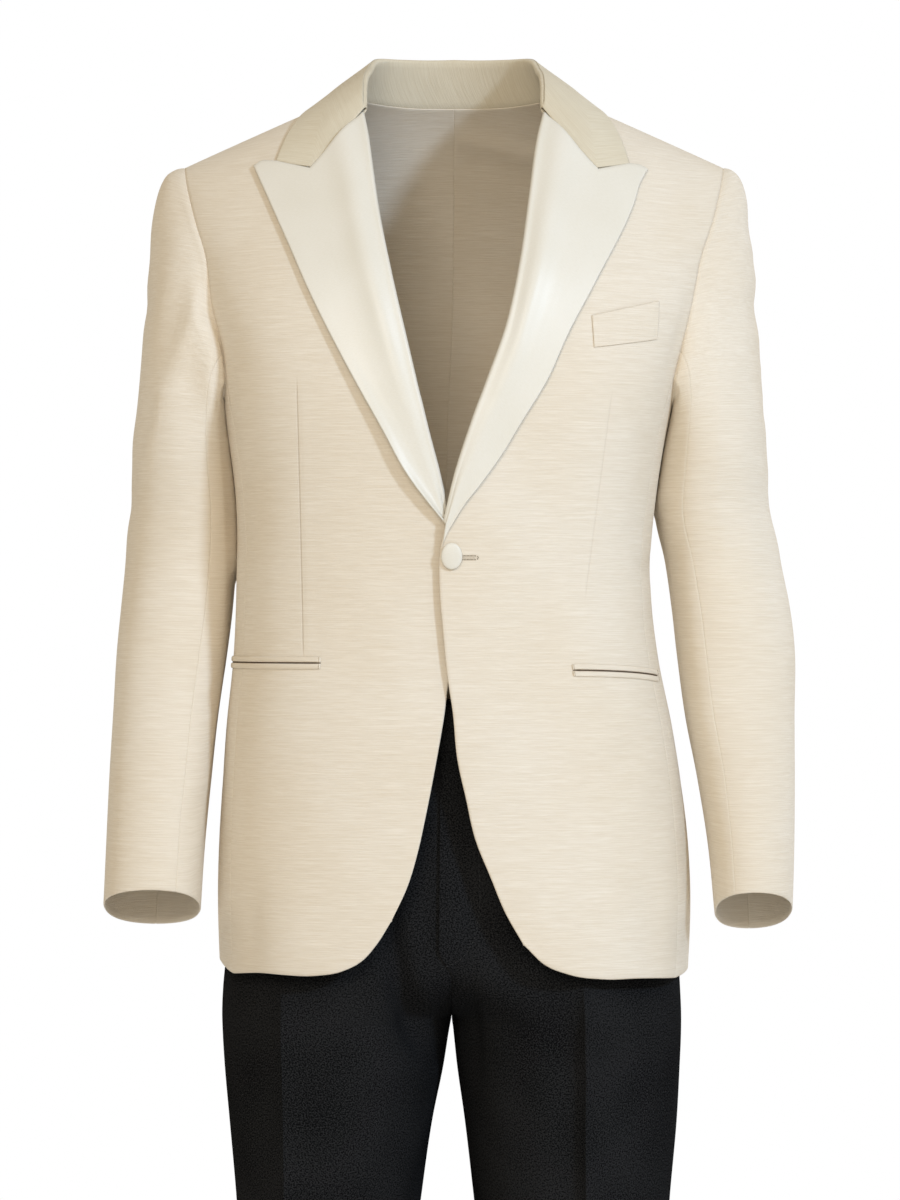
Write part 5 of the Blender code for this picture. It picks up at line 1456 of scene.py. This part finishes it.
def leg_point(side, face):
    """Surface of one leg face as a function of angle and height: an ellipse in plan with a
    ridge exp(-|angle from the crease| / flank width) on it."""
    def point(a, z):
        a, z = np.broadcast_arrays(np.asarray(a, float), np.asarray(z, float))
        mid, half, end, fold = (c.reshape(z.shape) for c in leg_row(side, z.reshape(-1)))
        shift = along(z, LEG_SHIFT[:, 0], LEG_SHIFT[:, 1])
        yc, fore, aft, ridge = np.moveaxis(along(z, LEG_DEPTH[:, 0], LEG_DEPTH[:, 1:]), -1, 0)
        fold = creased(face, fold, end)
        depth = fore if face < 0 else aft
        flank = np.where(a < fold, *CREASE_FLANKS[side])
        y = depth * np.sin(a) + ridge * np.exp(-np.abs(a - fold) / flank) * np.sin(a)
        return np.stack((shift + side * (mid + half * np.cos(a)), yc + face * y, z), axis=-1)
    return point


def lapped(grid, grid_z, wide):
    """Front edge of the left half carried over the right one: past x = 0 it follows the right
    leg's surface, and over the lap's width it lifts off by FLY_LIFT."""
    x = grid[..., 0]
    right = leg_row(-1, grid_z.reshape(-1))
    mid, half = right[0].reshape(x.shape), right[1].reshape(x.shape)
    a = np.arccos(np.clip((np.maximum(-x, 0) - mid) / half, -1, 1))
    other = leg_point(-1, -1)(a, grid_z)[..., 1]
    blend = soft(-x, -0.002, 0.002)
    out = grid.copy()
    out[..., 1] = grid[..., 1] * (1 - blend) + other * blend
    out[..., 1] -= FLY_LIFT * soft(-x, *FLY_RISE) * wide
    return out


WOOL_BLACK = (0.0046, 0.0048, 0.0052, 1)
WOOL_FIBRE = (0.0235, 0.0240, 0.0250, 1)


def wool(name):
    """Black wool: a fine steep twill and fibre fuzz in near-black, quite matt."""
    made, w, shader = painted(name)
    cloth = on_cloth(w)
    twill = cloth[0] * 5200.0 + cloth[1] * 3000.0
    rib = twill.math("SINE", twill) * 0.5 + 0.5
    fuzz = speckle(w, cloth, 780.0, 780.0, 3.0)
    cloud = speckle(w, cloth, 12.0, 12.0, 1.0)
    share = fuzz * 0.75 + rib * 0.10 + cloud * 0.15
    base = share.ramp(0.455, 0.545).mix(WOOL_BLACK, WOOL_FIBRE)
    finish(w, shader, Base_Color=base, Normal=relief(w, fuzz * 0.7 + rib * 0.3, 0.7, 0.0005),
           Roughness=0.88, Specular_IOR_Level=0.0)
    return made


black = wool("black_wool")
steps = len(LEG_ROWS) - 1
z = np.interp(np.linspace(0, steps, steps * FINE + 1), np.arange(steps + 1), LEG_ROWS)
leg_made = {}
for side in (1, -1):
    for face, label in ((-1, "front"), (1, "back")):
        surface = leg_point(side, face)
        mid, half, end, fold = leg_row(side, z)
        fold = creased(face, fold, end)
        reach = FLY_REACH * soft(z, FLY_END_Z - 0.010, FLY_END_Z + 0.016)
        laps = side > 0 and face < 0
        if side < 0:
            near = soft(z, CROTCH_Z - 0.001, CROTCH_Z + 0.001) * (1 - soft(z, -0.735, -0.715))
            shut = np.arccos(np.clip((-0.0004 * near - mid) / half, -1, 1))
            end = np.where(near > 0, shut, end)
        if laps:
            past = np.arccos(np.clip((-reach - mid) / half, -1, 1))
            end = np.where(reach > 0, past, end)
        out_t = 1 - (1 - np.linspace(0, 1, 4 * FINE + 1)[None]) ** CREASE_CROWDING
        in_t = np.linspace(0, 1, 5 * FINE + 1)[None, 1:] ** CREASE_CROWDING
        grid_a = np.concatenate((fold[:, None] * out_t,
                                 fold[:, None] + (end - fold)[:, None] * in_t), axis=1)
        grid_z = np.repeat(z[:, None], grid_a.shape[1], axis=1)
        outer = surface(grid_a, grid_z)
        normal = normal_of(surface, grid_a, grid_z) * side * face
        lift = folds(outer[..., 0], outer[..., 2], in_metres(LEG_FOLDS[side, face], MM))
        seams = np.minimum(soft(grid_a, 0, 0.35), soft(end[:, None] - grid_a, 0, 0.35))
        outer = outer + normal * (lift * seams * soft(-grid_z, 0.54, 0.60))[..., None]
        if laps:
            outer = lapped(outer, grid_z, (reach / FLY_REACH)[:, None])
        inner = outer - normal * TROUSER_WALL
        node = "trouser_%s_%s" % (label, NAME[side])
        made = wall(node + "_cloth", outer, inner, black,
                    lengths(outer) + (9 + side + face / 2, 0), (0, 1, 0, 0))
        leg_made[side, face] = made
        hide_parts(node)

# Waistband, a left and a right half
# A straight band of the same wool, sewn to the top of the trousers; the left half laps over
# the right one in front.
BAND_WALL = 0.0020
BAND_LAP = 0.0135
BAND_PROUD = 0.0003
BAND_LIFT = 1.4
SEAM_GAP = 0.00032
for side in (1, -1):
    halves = []
    for face in (-1, 1):
        surface = leg_point(side, face)
        z = np.linspace(WAIST_SEAM_Z + SEAM_GAP, WAIST_TOP_Z, 13)
        mid, half, end, fold = leg_row(side, z)
        if side > 0 and face < 0:
            end = np.arccos(np.clip((-BAND_LAP - mid) / half, -1, 1))
        grid_a = end[:, None] * np.linspace(0, 1, 49)[None]
        grid_z = np.repeat(z[:, None], 49, axis=1)
        outer = surface(grid_a, grid_z)
        if side > 0 and face < 0:
            outer = lapped(outer, grid_z, BAND_LIFT)
        normal = normal_of(surface, grid_a, grid_z) * side * face
        halves.append([outer + normal * off for off in (BAND_PROUD, BAND_PROUD - BAND_WALL)])
    outer, inner = (np.concatenate((halves[0][k][:, ::-1], halves[1][k][:, 1:]), axis=1)
                    for k in (0, 1))
    made = wall("waistband_%s_cloth" % NAME[side], outer, inner, black,
                lengths(outer) + (12 + side, 0), (0, 1, int(side > 0), 0))
    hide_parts("waistband_" + NAME[side])

# Fly stitching
# The J-shaped row of small black stitches that holds the fly's facing, down from the
# waistband and round to the lower end of the fly's edge.
J_LINE = np.array(((20.5, -560.0), (20.8, -620.0), (20.4, -668.0), (15.0, -691.0),
                   (3.0, -706.0), (-10.0, -712.5)))
FLY_Y = -0.105
FLY_PROUD = 0.0001
FLY_UP = 0.0016
FLY_STITCH = (0.0011, 0.00022, 0.00022)
thread_black = plain_paint("black_thread", (0.020, 0.020, 0.021), 0.60)
fine = resample(J_LINE, 76) * MM
k = (VIEW_DISTANCE + FLY_Y) / VIEW_DISTANCE
x = fine[:, 0] * k
z = VIEW_Z + (fine[:, 1] - VIEW_Z) * k
rows = [leg_row(s, z) for s in (1, -1)]
shift = along(z, LEG_SHIFT[:, 0], LEG_SHIFT[:, 1])
mid = np.where(x > 0, rows[0][0], rows[1][0])
half = np.where(x > 0, rows[0][1], rows[1][1])
a = np.arccos(np.clip((np.abs(x - shift) - mid) / half, -1, 1))
at = np.where((x > shift)[:, None], leg_point(1, -1)(a, z), leg_point(-1, -1)(a, z))
at[:, 1] -= FLY_PROUD + FLY_UP * soft(-at[:, 0], *FLY_RISE)
ahead = unit(np.gradient(at, axis=0))
over_n = unit(np.cross(ahead, np.cross((0, -1.0, 0), ahead)))
stitches = beads("fly_stitches", at[::2], ahead[::2], over_n[::2], FLY_STITCH, thread_black)
for (side, face), made in leg_made.items():
    (0.376, 1.143) if face > 0 else (0.333, 1.12)
    0.256 if face > 0 else 0.244
    [stitches] if (side, face) == (1, -1) else []

# Box sizes
corners = {"cad": cad_box, "visual": [list(corner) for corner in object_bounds()]}
